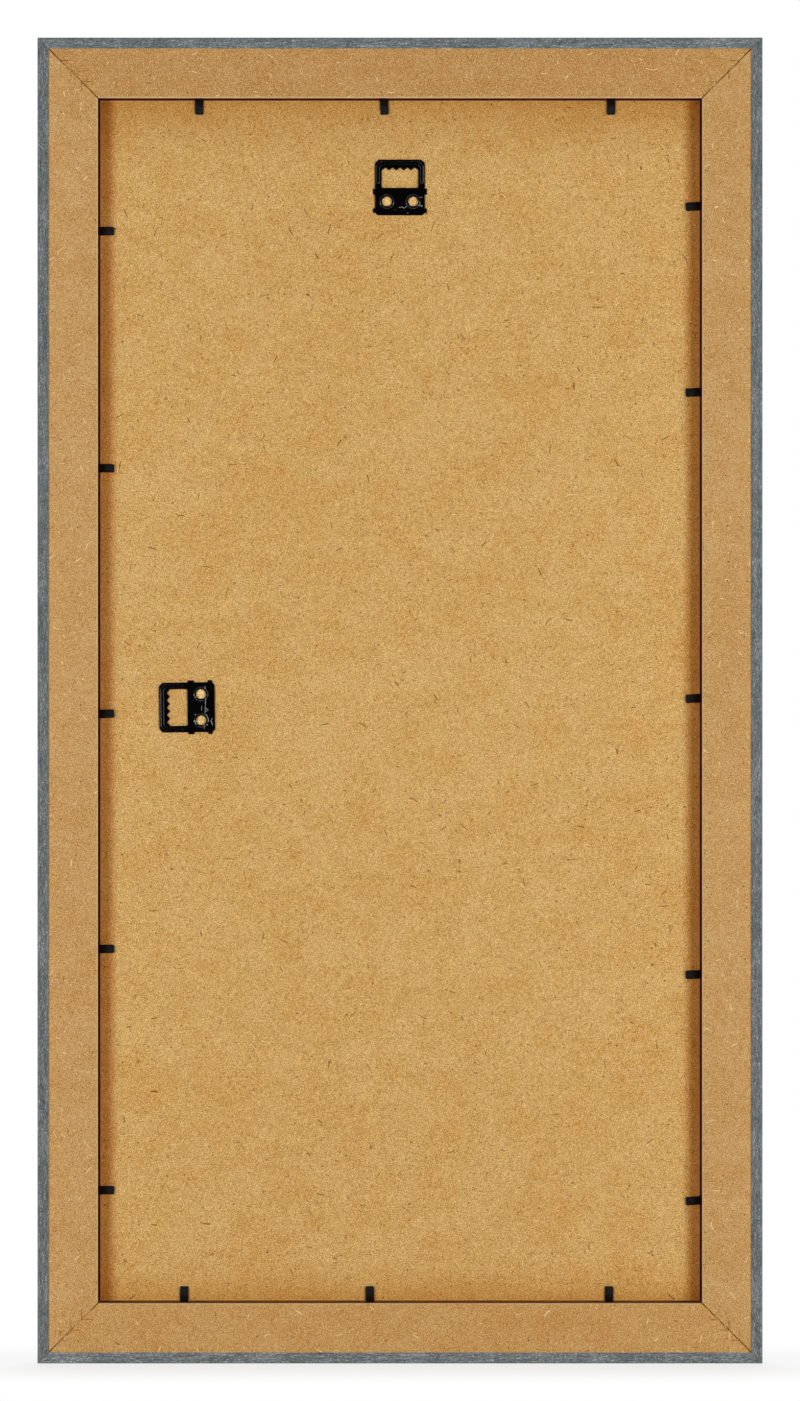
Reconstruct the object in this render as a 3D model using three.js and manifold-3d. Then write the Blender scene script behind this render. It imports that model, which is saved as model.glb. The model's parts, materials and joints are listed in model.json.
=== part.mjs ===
// A wall picture frame, built as it comes apart on a bench: four mitred fibreboard rails wrapped in
// foil and pinned at the corners, then glass, a blank insert and a backing board in the rebate, held
// by flexible points, and two sawtooth hangers pressed into the board.
//
// Millimetres. The frame hangs upright with +Z up, its back on the wall at Y = 0 and its glass
// towards +Y. The origin is on the wall, behind the middle notch of the portrait hanger.

import * as THREE from "three";
import { mergeVertices } from "three/addons/utils/BufferGeometryUtils.js";
import Module from "manifold-3d";

// Picture, and the room round it in the rebate
const PICTURE_WIDTH = 300;
const PICTURE_HEIGHT = 600;
const REBATE_PLAY = 1; // picture edge to rebate wall
const SHEET_PLAY = 1; // glass or board edge to rebate wall

// Rails, measured over the foil
const RAIL_WIDTH = 30; // outer side to rebate wall
const RAIL_DEPTH = 17; // wall to front face
const LIP_WIDTH = 5.5; // rebate wall to sight edge
const LIP_DEPTH = 4.5; // glass seat to front face
const CORE_BACK_RADIUS = 0.4;
const CORE_FRONT_RADIUS = 1.6;
const MITRE_GAP = 0.3;

// Foil round each rail
const FOIL_SHEET = 0.3;
const FOIL_LAP = 5.5; // outer side to the cut edge on the back
const GLUE_LINE = 0.1;

// Sheets stacked in the rebate, from the front
const GLASS_SHEET = 2;
const INSERT_SHEET = 0.4;
const BOARD_SHEET = 3;
const STACK_GAP = 0.1;
const GLASS_ARRIS = 0.2;
const BOARD_ARRIS = 0.3;

// Flexible points: a thin strip driven into the rebate wall and bent down over the board
const POINT_WIDTH = 4.2;
const POINT_SHEET = 0.45;
const POINT_REACH = 8.2; // rebate wall to tip
const POINT_TIP_RADIUS = 0.9;
const POINT_LIFT = 0.3; // over the board
const POINT_SLOT_PLAY = 0.1;
const SHANK_DEPTH = 6.5; // driven into the rail
const SHANK_SPEAR = 2; // length of its sharpened end
const BEND_GAP = 0.35; // driven half to bending half
const POINT_INSET_SHORT = 49.3; // corner of the rebate to the first point, top and bottom
const POINT_INSET_LONG = 59.7; // the same at the sides

// Corner nails: three bent strips pressed across each mitre from the back
const NAIL_COUNT = 3;
const NAIL_OUTER = 11.5; // outer side to the first nail
const NAIL_INNER = 8; // last nail to the rebate wall
const NAIL_LEG = 5;
const NAIL_SHEET = 0.4;
const NAIL_HEIGHT = 10;
const NAIL_SINK = 0.3; // below the back of the fibreboard
const NAIL_PLAY = 0.08;

// Hangers: a pressed plate with a toothed window, its origin at the apex of the middle notch
const HANGER_INSET = 29.6; // board edge to plate
const HANGER_SHEET = 0.8;
const HANGER_SEAT = 0.1; // plate to board
const HANGER_BAR = 3.9; // plate edge to notch apex
const HANGER_LEG = 3.1; // plate edge to window
const HANGER_BASE = 13.7; // window to the lower edge
const HANGER_TOP_CHAMFER = 1.8;
const HANGER_BASE_CHAMFER = 1.3;
const NOTCH_COUNT = 5;
const NOTCH_PITCH = 3.65;
const NOTCH_DEPTH = 1.5;
const WINDOW_DROP = 10.25; // notch apex to the window's lower edge
const WINDOW_CHAMFER = 0.5;
const BEAD_INSET = 1.4; // plate edge to the bead's middle
const BEAD_CREST = 0.7; // width of its top
const BEAD_HEIGHT = 0.6;
const BEAD_SLOPE = 0.6; // width of each rounded side
const BEAD_END = 2.6; // window's lower edge to the bead's end
const HOLE_RADIUS = 2.45;
const HOLE_SPACING = 13.1;
const HOLE_DROP = 6.8; // window to hole centres
const RIM_RADIUS = 3.9;
const RIM_HEIGHT = 0.5;
const RIM_LAND = 0.25; // flat top round the hole
const PRONG_REACH = 1.2; // plate edge to the outside of the fold
const PRONG_DEPTH = 2.2; // into the board
const PRONG_PLAY = 0.1;
const UPPER_PRONG = { drop: 0.4, width: 2.9 }; // window's lower edge to the prong
const LOWER_PRONG = { rise: 1.3, width: 2.1 }; // plate's lower edge to the prong
const LANDSCAPE_SHIFT = -3.6; // off the frame's middle, as it was pressed in
const LANDSCAPE_TILT = 0.75; // degrees

// Fineness of the round shapes
const ARC_STEPS = 4;
const HOLE_STEPS = 24;
const WELD = 1e-4; // vertices closer than this are one

// Sizes that follow from the ones above
const SKIN = FOIL_SHEET + GLUE_LINE;
const OPENING_WIDTH = PICTURE_WIDTH + 2 * REBATE_PLAY;
const OPENING_HEIGHT = PICTURE_HEIGHT + 2 * REBATE_PLAY;
const OUTER_WIDTH = OPENING_WIDTH + 2 * RAIL_WIDTH;
const OUTER_HEIGHT = OPENING_HEIGHT + 2 * RAIL_WIDTH;
const SHEET_WIDTH = OPENING_WIDTH - 2 * SHEET_PLAY;
const SHEET_HEIGHT = OPENING_HEIGHT - 2 * SHEET_PLAY;

// Depth of the back face of each layer, from the wall
const SEAT_Y = RAIL_DEPTH - LIP_DEPTH;
const GLASS_Y = SEAT_Y - STACK_GAP - GLASS_SHEET;
const INSERT_Y = GLASS_Y - STACK_GAP - INSERT_SHEET;
const BOARD_Y = INSERT_Y - STACK_GAP - BOARD_SHEET;
const POINT_Y = BOARD_Y - POINT_LIFT - POINT_SHEET / 2; // middle of the strip
const HANGER_Y = BOARD_Y - HANGER_SEAT; // the plate's face on the board

const BEND_Z = -(BEND_GAP + POINT_SHEET / 2); // bend line of a point, from the rebate wall
const WINDOW_HALF = (NOTCH_COUNT * NOTCH_PITCH) / 2;
const HANGER_HALF = WINDOW_HALF + HANGER_LEG;
const HANGER_BOTTOM = -(WINDOW_DROP + HANGER_BASE);
const NOTCH_TO_EDGE = HANGER_INSET + HANGER_BAR; // board edge to notch apex
const CENTRE_Z = -(SHEET_HEIGHT / 2 - NOTCH_TO_EDGE); // the frame's middle

// Each rail by side, with the turn about Y that brings it from the top. Its points run clockwise as
// seen from the back: how far each was set off its even spacing, and how far its tip leans onward.
const QUARTER = Math.PI / 2;
const SIDES = [
  {
    name: "top",
    turn: 0,
    length: OUTER_WIDTH,
    across: OUTER_HEIGHT,
    inset: POINT_INSET_SHORT,
    shifts: [1.3, -8, 3.8],
    leans: [0, 2.5, 0.5],
  },
  {
    name: "right",
    turn: QUARTER,
    length: OUTER_HEIGHT,
    across: OUTER_WIDTH,
    inset: POINT_INSET_LONG,
    shifts: [-5.9, -33.6, -1.2, 16.2, 8.5],
    leans: [3, 3, 3, 2.5, 4],
  },
  {
    name: "bottom",
    turn: 2 * QUARTER,
    length: OUTER_WIDTH,
    across: OUTER_HEIGHT,
    inset: POINT_INSET_SHORT,
    shifts: [-2.8, 15, 6.2],
    leans: [0, 1, -0.5],
  },
  {
    name: "left",
    turn: -QUARTER,
    length: OUTER_HEIGHT,
    across: OUTER_WIDTH,
    inset: POINT_INSET_LONG,
    shifts: [-3.5, -3.6, -6.8, -4.5, -6.7],
    leans: [0, 0.5, 2, -0.5, 0.5],
  },
];

// Corners with the turn about Y that brings each from the top right
const CORNERS = [
  { name: "top_right", x: 1, z: 1, turn: 0 },
  { name: "bottom_right", x: 1, z: -1, turn: QUARTER },
  { name: "bottom_left", x: -1, z: -1, turn: 2 * QUARTER },
  { name: "top_left", x: -1, z: 1, turn: -QUARTER },
];

const wasm = await Module();
wasm.setup();

function finish(colour, roughness, metalness = 0) {
  return new THREE.MeshStandardMaterial({ color: colour, roughness, metalness, flatShading: true });
}

const FIBREBOARD = finish(0xc39961, 0.85);
const BACKING = finish(0xca9f5f, 0.8);
const FOIL = finish(0x6c7172, 0.5);
const PAPER = finish(0xf1eee6, 0.9);
const BLACK_PAINT = finish(0x0b0a0a, 0.3, 0.4);
const STEEL = finish(0x6f6a63, 0.45, 0.9);
const GLASS = finish(0xd6e6e0, 0.05);
GLASS.transparent = true;
GLASS.opacity = 0.3;

// A closed geometry as a solid that can be joined and cut
function solid(geometry) {
  const bare = geometry.clone();
  bare.deleteAttribute("normal");
  bare.deleteAttribute("uv");
  const merged = mergeVertices(bare, WELD);
  return new wasm.Manifold(
    new wasm.Mesh({
      numProp: 3,
      vertProperties: new Float32Array(merged.attributes.position.array),
      triVerts: new Uint32Array(merged.index.array),
    }),
  );
}

// A solid as a geometry again
function geometryOf(body) {
  const made = body.getMesh();
  const geometry = new THREE.BufferGeometry();
  geometry.setAttribute("position", new THREE.BufferAttribute(made.vertProperties, 3));
  geometry.setIndex(new THREE.BufferAttribute(made.triVerts, 1));
  geometry.computeVertexNormals();
  return geometry;
}

function mesh(name, geometry, material) {
  const made = new THREE.Mesh(geometry, material);
  made.name = name;
  return made;
}

// A box between two corners
function block(x0, x1, y0, y1, z0, z1) {
  const box = new THREE.BoxGeometry(x1 - x0, y1 - y0, z1 - z0);
  return box.translate((x0 + x1) / 2, (y0 + y1) / 2, (z0 + z1) / 2);
}

function outline(points) {
  return new THREE.Shape(points.map(([x, z]) => new THREE.Vector2(x, z)));
}

// A plan outline in X and Z, made thick from Y = 0 towards the wall
function plate(shape, thickness) {
  const options = { depth: thickness, bevelEnabled: false, curveSegments: ARC_STEPS };
  return new THREE.ExtrudeGeometry(shape, options).rotateX(QUARTER);
}

// A flat sheet with its sharp edges taken off, its back face at Y = 0
function sheet(width, height, thickness, arris) {
  const x = width / 2;
  const z = height / 2;
  const shape = outline([[-x, -z], [x, -z], [x, z], [-x, z]]);
  const options = {
    depth: thickness - 2 * arris,
    bevelThickness: arris,
    bevelSize: arris,
    bevelOffset: -arris,
    bevelSegments: 1,
  };
  return new THREE.ExtrudeGeometry(shape, options).rotateX(QUARTER).translate(0, thickness - arris, 0);
}

// The rounded corners that the foil goes round, from the back to the sight edge: U is measured in
// from the outer side, Y from the wall, and the angles are where each arc starts and ends
const CORE_SIGHT = RAIL_WIDTH + LIP_WIDTH - SKIN;
const CORE_FRONT = RAIL_DEPTH - SKIN;
const WRAP_CORNERS = [
  {
    u: SKIN + CORE_BACK_RADIUS,
    y: SKIN + CORE_BACK_RADIUS,
    radius: CORE_BACK_RADIUS,
    start: -QUARTER,
    end: -2 * QUARTER,
  },
  {
    u: SKIN + CORE_FRONT_RADIUS,
    y: CORE_FRONT - CORE_FRONT_RADIUS,
    radius: CORE_FRONT_RADIUS,
    start: 2 * QUARTER,
    end: QUARTER,
  },
  {
    u: CORE_SIGHT - CORE_FRONT_RADIUS,
    y: CORE_FRONT - CORE_FRONT_RADIUS,
    radius: CORE_FRONT_RADIUS,
    start: QUARTER,
    end: 0,
  },
];

function coreProfile() {
  const shape = new THREE.Shape();
  shape.moveTo(RAIL_WIDTH, SEAT_Y);
  shape.lineTo(RAIL_WIDTH, SKIN);
  for (const { u, y, radius, start, end } of WRAP_CORNERS) {
    shape.absarc(u, y, radius, start, end, true);
  }
  shape.lineTo(CORE_SIGHT, SEAT_Y);
  return shape;
}

function foilProfile() {
  const shape = new THREE.Shape();
  shape.moveTo(FOIL_LAP, FOIL_SHEET);
  shape.lineTo(FOIL_LAP, 0);
  for (const { u, y, radius, start, end } of WRAP_CORNERS) {
    shape.absarc(u, y, radius + SKIN, start, end, true);
  }
  shape.lineTo(CORE_SIGHT + SKIN, SEAT_Y);
  shape.lineTo(CORE_SIGHT + GLUE_LINE, SEAT_Y);
  for (const { u, y, radius, start, end } of [...WRAP_CORNERS].reverse()) {
    shape.absarc(u, y, radius + GLUE_LINE, end, start, false);
  }
  return shape;
}

// A rail's profile run along X between two mitres, its outer side at Z = 0
function mitredBar(profile, length) {
  const options = { depth: 1, bevelEnabled: false, curveSegments: ARC_STEPS };
  const bar = new THREE.ExtrudeGeometry(profile, options);
  const setback = (MITRE_GAP / 2) * Math.SQRT2;
  const place = bar.attributes.position;
  for (let i = 0; i < place.count; i += 1) {
    const u = place.getX(i);
    const end = place.getZ(i) > 0.5 ? 1 : -1;
    place.setXYZ(i, end * (length / 2 - setback - u), place.getY(i), -u);
  }
  bar.computeVertexNormals();
  return bar;
}

// Where the points of a side sit along its rail
function pointPlaces({ length, inset, shifts }) {
  const reach = length / 2 - RAIL_WIDTH - inset;
  const pitch = (2 * reach) / (shifts.length - 1);
  return shifts.map((shift, i) => -reach + i * pitch + shift);
}

// Distances of the corner nails from the two outer sides
function nailPlaces() {
  const last = RAIL_WIDTH - NAIL_INNER;
  const pitch = (last - NAIL_OUTER) / (NAIL_COUNT - 1);
  return Array.from({ length: NAIL_COUNT }, (_, i) => NAIL_OUTER + i * pitch);
}

// A point's own frame, on the rebate wall, with -Z out over the board
function pointFrame(place, lean) {
  const frame = new THREE.Group();
  frame.position.set(place, POINT_Y, -RAIL_WIDTH);
  frame.rotation.y = -THREE.MathUtils.degToRad(lean);
  frame.updateMatrix();
  return frame;
}

function pointSlot() {
  const x = POINT_WIDTH / 2 + POINT_SLOT_PLAY;
  const y = POINT_SHEET / 2 + POINT_SLOT_PLAY;
  return block(-x, x, -y, y, -POINT_WIDTH, SHANK_DEPTH + POINT_SLOT_PLAY);
}

function railCore(side) {
  let core = solid(mitredBar(coreProfile(), side.length));
  pointPlaces(side).forEach((place, i) => {
    const slot = pointSlot().applyMatrix4(pointFrame(place, side.leans[i]).matrix);
    core = core.subtract(solid(slot));
  });
  const half = NAIL_SHEET / 2 + NAIL_PLAY;
  const floor = SKIN + NAIL_SINK + NAIL_HEIGHT + NAIL_PLAY;
  for (const from of nailPlaces()) {
    const near = side.length / 2 - from - NAIL_LEG - NAIL_PLAY;
    const far = side.length / 2 - from + half;
    core = core.subtract(solid(block(near, far, 0, floor, -from - half, -from + half)));
    core = core.subtract(solid(block(-far, -near, 0, floor, -from - half, -from + half)));
  }
  return geometryOf(core);
}

// The driven half of a point, sharpened at its inner end
function pointShank() {
  const x = POINT_WIDTH / 2;
  const shoulder = SHANK_DEPTH - SHANK_SPEAR;
  const shape = outline([[-x, 0], [x, 0], [x, shoulder], [0, SHANK_DEPTH], [-x, shoulder]]);
  return plate(shape, POINT_SHEET).translate(0, POINT_SHEET / 2, 0);
}

// The bending half, with the bend line through its origin
function pointTab() {
  const x = POINT_WIDTH / 2;
  const r = POINT_TIP_RADIUS;
  const root = POINT_SHEET / 2;
  const tip = -(POINT_REACH + BEND_Z);
  const shape = new THREE.Shape();
  shape.moveTo(x, root);
  shape.lineTo(-x, root);
  shape.absarc(-x + r, tip + r, r, 2 * QUARTER, 3 * QUARTER, false);
  shape.absarc(x - r, tip + r, r, 3 * QUARTER, 4 * QUARTER, false);
  return plate(shape, POINT_SHEET).translate(0, POINT_SHEET / 2, 0);
}

// A corner nail, its bend at the origin and its legs towards -X and -Z
function cornerNail() {
  const t = NAIL_SHEET / 2;
  const end = -NAIL_LEG;
  const shape = outline([[t, t], [end, t], [end, -t], [-t, -t], [-t, end], [t, end]]);
  return plate(shape, NAIL_HEIGHT).translate(0, NAIL_HEIGHT, 0);
}

// The hanger's window, with its row of notches along the upper edge
function hangerWindow() {
  const floor = -WINDOW_DROP;
  const points = [
    [-WINDOW_HALF, floor + WINDOW_CHAMFER],
    [-WINDOW_HALF + WINDOW_CHAMFER, floor],
    [WINDOW_HALF - WINDOW_CHAMFER, floor],
    [WINDOW_HALF, floor + WINDOW_CHAMFER],
  ];
  for (let i = 0; i < NOTCH_COUNT; i += 1) {
    const right = WINDOW_HALF - i * NOTCH_PITCH;
    points.push([right, -NOTCH_DEPTH], [right - NOTCH_PITCH / 2, 0]);
  }
  points.push([-WINDOW_HALF, -NOTCH_DEPTH]);
  return outline(points);
}

function hangerPlate() {
  const x = HANGER_HALF;
  const top = HANGER_TOP_CHAMFER;
  const low = HANGER_BASE_CHAMFER;
  const shape = outline([
    [-x + low, HANGER_BOTTOM],
    [x - low, HANGER_BOTTOM],
    [x, HANGER_BOTTOM + low],
    [x, HANGER_BAR - top],
    [x - top, HANGER_BAR],
    [-x + top, HANGER_BAR],
    [-x, HANGER_BAR - top],
    [-x, HANGER_BOTTOM + low],
  ]);
  shape.holes.push(hangerWindow());
  return plate(shape, HANGER_SHEET);
}

// The stiffening bead pressed up round the loop, rooted half way down the plate
function hangerBead() {
  const x = HANGER_HALF - BEAD_INSET;
  const top = HANGER_BAR - BEAD_INSET;
  const end = -WINDOW_DROP + BEAD_END;
  const mitre = Math.tan(Math.PI / 8);
  const side = (off) => [
    [x + off, end],
    [x + off, top - HANGER_TOP_CHAMFER + off * mitre],
    [x - HANGER_TOP_CHAMFER + off * mitre, top + off],
  ];
  const loop = (off) => [...side(off), ...side(off).reverse().map(([px, pz]) => [-px, pz])];
  const crest = outline([...loop(BEAD_CREST / 2), ...loop(-BEAD_CREST / 2).reverse()]);
  const options = {
    depth: HANGER_SHEET,
    bevelThickness: BEAD_HEIGHT,
    bevelSize: BEAD_SLOPE,
    bevelSegments: 3,
  };
  const bead = new THREE.ExtrudeGeometry(crest, options).rotateX(QUARTER);
  const x1 = HANGER_HALF;
  const under = block(-x1, x1, -HANGER_SHEET / 2, 2 * BEAD_HEIGHT, HANGER_BOTTOM, HANGER_BAR);
  return solid(bead).subtract(solid(under));
}

// The raised rim round a hole, closed over until the hole is cut
function hangerRim() {
  const profile = [
    [0, -HANGER_SHEET / 2],
    [RIM_RADIUS, -HANGER_SHEET / 2],
    [RIM_RADIUS, 0],
  ];
  const land = HOLE_RADIUS + RIM_LAND;
  for (let i = 1; i <= ARC_STEPS; i += 1) {
    const angle = (QUARTER * i) / ARC_STEPS;
    profile.push([land + (RIM_RADIUS - land) * Math.cos(angle), RIM_HEIGHT * Math.sin(angle)]);
  }
  profile.push([0, RIM_HEIGHT]);
  const points = profile.map(([r, h]) => new THREE.Vector2(r, h));
  return new THREE.LatheGeometry(points, HOLE_STEPS).rotateX(2 * QUARTER);
}

// Where the four prongs fold down: which edge, and the span they take along it
function prongSpans() {
  const upper = -WINDOW_DROP - UPPER_PRONG.drop;
  const lower = HANGER_BOTTOM + LOWER_PRONG.rise;
  const spans = [
    [upper - UPPER_PRONG.width, upper],
    [lower, lower + LOWER_PRONG.width],
  ];
  return [1, -1].flatMap((edge) => spans.map(([z0, z1]) => ({ edge, z0, z1 })));
}

// A prong, folded from the plate's edge down into the board
function prong({ edge, z0, z1 }) {
  const inner = HANGER_HALF - HANGER_SHEET / 2;
  const outer = HANGER_HALF + PRONG_REACH;
  const shape = new THREE.Shape();
  shape.moveTo(inner, 0);
  shape.lineTo(outer - HANGER_SHEET, 0);
  shape.lineTo(outer - HANGER_SHEET, HANGER_SEAT + PRONG_DEPTH);
  shape.lineTo(outer, HANGER_SEAT + PRONG_DEPTH);
  shape.absarc(outer - HANGER_SHEET, 0, HANGER_SHEET, 0, -QUARTER, true);
  shape.lineTo(inner, -HANGER_SHEET);
  const options = { depth: z1 - z0, bevelEnabled: false, curveSegments: ARC_STEPS };
  const made = new THREE.ExtrudeGeometry(shape, options);
  if (edge > 0) {
    return made.translate(0, 0, z0);
  }
  return made.translate(0, 0, -z1).rotateY(2 * QUARTER);
}

function hangerHoles() {
  const z = -WINDOW_DROP - HOLE_DROP;
  return [1, -1].map((edge) => new THREE.Vector3((edge * HOLE_SPACING) / 2, 0, z));
}

function hanger() {
  let body = solid(hangerPlate()).add(hangerBead());
  for (const span of prongSpans()) {
    body = body.add(solid(prong(span)));
  }
  for (const hole of hangerHoles()) {
    const rim = hangerRim().translate(hole.x, -HANGER_SHEET, hole.z);
    const drill = new THREE.CylinderGeometry(HOLE_RADIUS, HOLE_RADIUS, RAIL_DEPTH, HOLE_STEPS);
    body = body.add(solid(rim)).subtract(solid(drill.translate(hole.x, 0, hole.z)));
  }
  return geometryOf(body);
}

// A hanger's own frame on the board: portrait near the top edge, landscape near the left one
function hangerFrame(landscape) {
  const frame = new THREE.Group();
  if (landscape) {
    frame.position.set(-(SHEET_WIDTH / 2 - NOTCH_TO_EDGE), HANGER_Y, LANDSCAPE_SHIFT);
    frame.rotation.y = -QUARTER - THREE.MathUtils.degToRad(LANDSCAPE_TILT);
  } else {
    frame.position.set(0, HANGER_Y, SHEET_HEIGHT / 2 - NOTCH_TO_EDGE);
  }
  frame.updateMatrix();
  return frame;
}

// The backing board, with a slit for each prong of both hangers
function backingBoard() {
  let board = solid(sheet(SHEET_WIDTH, SHEET_HEIGHT, BOARD_SHEET, BOARD_ARRIS));
  const floor = HANGER_SEAT + PRONG_DEPTH + PRONG_PLAY;
  for (const landscape of [false, true]) {
    const place = hangerFrame(landscape).matrix;
    for (const { edge, z0, z1 } of prongSpans()) {
      const outer = edge * (HANGER_HALF + PRONG_REACH + PRONG_PLAY);
      const inner = edge * (HANGER_HALF + PRONG_REACH - HANGER_SHEET - PRONG_PLAY);
      const [x0, x1] = [inner, outer].sort((a, b) => a - b);
      const slit = block(x0, x1, -BOARD_SHEET, floor, z0 - PRONG_PLAY, z1 + PRONG_PLAY);
      board = board.subtract(solid(slit.applyMatrix4(place).translate(0, -BOARD_Y, 0)));
    }
  }
  return geometryOf(board);
}

// Everything inside the frame is placed from its middle
const frame = new THREE.Group();
frame.position.z = CENTRE_Z;

for (const side of SIDES) {
  const turned = new THREE.Group();
  turned.rotation.y = side.turn;
  frame.add(turned);
  const rail = new THREE.Group();
  rail.position.z = side.across / 2;
  turned.add(rail);
  rail.add(mesh(`rail_core_${side.name}`, railCore(side), FIBREBOARD));
  rail.add(mesh(`rail_foil_${side.name}`, mitredBar(foilProfile(), side.length), FOIL));
  pointPlaces(side).forEach((place, i) => {
    const point = pointFrame(place, side.leans[i]);
    const tab = mesh(`point_tab_${side.name}_${i + 1}`, pointTab(), BLACK_PAINT);
    tab.position.z = BEND_Z;
    point.add(mesh(`point_shank_${side.name}_${i + 1}`, pointShank(), BLACK_PAINT), tab);
    rail.add(point);
  });
}

for (const corner of CORNERS) {
  nailPlaces().forEach((from, i) => {
    const nail = mesh(`corner_nail_${corner.name}_${i + 1}`, cornerNail(), STEEL);
    const x = corner.x * (OUTER_WIDTH / 2 - from);
    const z = corner.z * (OUTER_HEIGHT / 2 - from);
    nail.position.set(x, SKIN + NAIL_SINK, z);
    nail.rotation.y = corner.turn;
    frame.add(nail);
  });
}

const glass = mesh("glass", sheet(SHEET_WIDTH, SHEET_HEIGHT, GLASS_SHEET, GLASS_ARRIS), GLASS);
glass.position.y = GLASS_Y;
const insert = mesh("picture_insert", block(
  -PICTURE_WIDTH / 2,
  PICTURE_WIDTH / 2,
  0,
  INSERT_SHEET,
  -PICTURE_HEIGHT / 2,
  PICTURE_HEIGHT / 2,
), PAPER);
insert.position.y = INSERT_Y;
const board = mesh("backing_board", backingBoard(), BACKING);
board.position.y = BOARD_Y;
frame.add(glass, insert, board);

for (const landscape of [false, true]) {
  const name = landscape ? "hanger_landscape" : "hanger_portrait";
  const place = hangerFrame(landscape);
  place.add(mesh(name, hanger(), BLACK_PAINT));
  frame.add(place);
}

const picture_frame = new THREE.Group();
picture_frame.add(frame);

export default picture_frame;
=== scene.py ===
import json
import math
import random
from functools import reduce

import bmesh
import bpy
import numpy as np
from mathutils import Matrix, Vector


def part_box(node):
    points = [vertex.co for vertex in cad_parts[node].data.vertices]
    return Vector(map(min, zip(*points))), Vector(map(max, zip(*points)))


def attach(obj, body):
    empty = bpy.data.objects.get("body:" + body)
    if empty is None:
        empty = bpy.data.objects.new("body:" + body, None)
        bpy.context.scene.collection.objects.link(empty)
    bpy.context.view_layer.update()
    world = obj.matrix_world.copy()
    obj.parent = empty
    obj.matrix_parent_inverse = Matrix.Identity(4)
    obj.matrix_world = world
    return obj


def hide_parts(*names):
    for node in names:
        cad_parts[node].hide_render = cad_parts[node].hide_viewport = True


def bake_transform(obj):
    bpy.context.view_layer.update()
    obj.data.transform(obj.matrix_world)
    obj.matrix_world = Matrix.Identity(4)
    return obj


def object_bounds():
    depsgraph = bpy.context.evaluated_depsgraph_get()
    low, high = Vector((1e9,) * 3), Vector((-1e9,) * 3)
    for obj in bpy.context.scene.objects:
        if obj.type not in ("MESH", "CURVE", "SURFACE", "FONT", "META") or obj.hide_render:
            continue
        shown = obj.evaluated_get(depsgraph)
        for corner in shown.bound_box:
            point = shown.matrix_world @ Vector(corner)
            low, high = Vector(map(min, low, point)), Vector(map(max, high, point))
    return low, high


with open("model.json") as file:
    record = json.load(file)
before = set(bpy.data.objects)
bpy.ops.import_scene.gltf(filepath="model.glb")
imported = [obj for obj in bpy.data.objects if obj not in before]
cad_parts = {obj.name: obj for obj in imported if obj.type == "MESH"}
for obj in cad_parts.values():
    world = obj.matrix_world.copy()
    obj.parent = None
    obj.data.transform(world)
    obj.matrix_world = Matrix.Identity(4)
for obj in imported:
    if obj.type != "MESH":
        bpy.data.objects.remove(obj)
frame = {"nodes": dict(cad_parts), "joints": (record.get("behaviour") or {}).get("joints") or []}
cad_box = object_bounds()

# The back of a picture frame, dressed for the camera. Sizes are in millimetres in the part's own
# frame: +Z up, the wall at Y = 0, the glass towards +Y. Each mesh is turned into metres at the end.
MM = 0.001
QUARTER = math.pi / 2
SEED = 41

BOX_LOW, BOX_HIGH = (corner / MM for corner in cad_box)
BOARD_LOW, BOARD_HIGH = (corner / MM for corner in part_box("backing_board"))
OUTER_WIDTH = BOX_HIGH.x - BOX_LOW.x
OUTER_HEIGHT = BOX_HIGH.z - BOX_LOW.z
RAIL_DEPTH = BOX_HIGH.y
MIDDLE_Z = (BOX_LOW.z + BOX_HIGH.z) / 2

# Rails
RAIL_WIDTH = 30
LIP_WIDTH = 5.5
SEAT_Y = 12.5
SKIN = 0.4  # foil and its glue
GLUE_LINE = 0.1
BACK_RADIUS = 0.4
FRONT_RADIUS = 1.6
ARC_STEPS = 7
ARRIS_WIDTH = 0.42  # the sanded inner edge of the back
ARRIS_DROP = 0.2
RAIL_CREASE = 25  # degrees: edges sharper than this stay sharp
SIGHT = RAIL_WIDTH + LIP_WIDTH - SKIN
SIDES = (  # name, turn from the top, length, and the frame's size across it
    ("top", 0, OUTER_WIDTH, OUTER_HEIGHT),
    ("right", QUARTER, OUTER_HEIGHT, OUTER_WIDTH),
    ("bottom", 2 * QUARTER, OUTER_WIDTH, OUTER_HEIGHT),
    ("left", -QUARTER, OUTER_HEIGHT, OUTER_WIDTH),
)
WRAP = (  # the corners that the foil goes round: middle, radius, first and last angle
    (SKIN + BACK_RADIUS, SKIN + BACK_RADIUS, BACK_RADIUS, -QUARTER, -2 * QUARTER),
    (SKIN + FRONT_RADIUS, RAIL_DEPTH - SKIN - FRONT_RADIUS, FRONT_RADIUS, 2 * QUARTER, QUARTER),
    (SIGHT - FRONT_RADIUS, RAIL_DEPTH - SKIN - FRONT_RADIUS, FRONT_RADIUS, QUARTER, 0),
)

# Foil
FOIL_LAP = 5.5
FOIL_EDGE = 1  # the strip beside the cut edge, which wavers with it
FOIL_WAVER = 0.09
FOIL_STEP = 6
FOIL_ROLL = 900  # each rail's foil starts somewhere along this length of the roll
FOIL_GAP = 0.07  # half the gap between the foils of two rails
FOIL_CREASE = 40

# Corner nails and the slits that they leave
NAIL_OUTER = 11.5
NAIL_INNER = 8
NAIL_COUNT = 3
NAIL_LEG = 5
NAIL_HALF = 0.28
NAIL_TOP = 0.68
NAIL_FLOOR = 10.78
NAIL_PITCH = (RAIL_WIDTH - NAIL_INNER - NAIL_OUTER) / (NAIL_COUNT - 1)
NAIL_MOUTHS = (0.01, 0.02, 0.04, 0.07)  # half the slit left in the back, from closed to open
SLIT_STEPS = 9
SLIT_WAVER = 0.1  # how far a slit strays from its line
SLIT_RAGGED = (0.2, 1.4)  # least and greatest share of its mouth
SLOT_PLAY = 0.1  # room for a nail or a point
SLOT_PAST = 2  # how far a point's slot is cut out beyond the rebate wall

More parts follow.
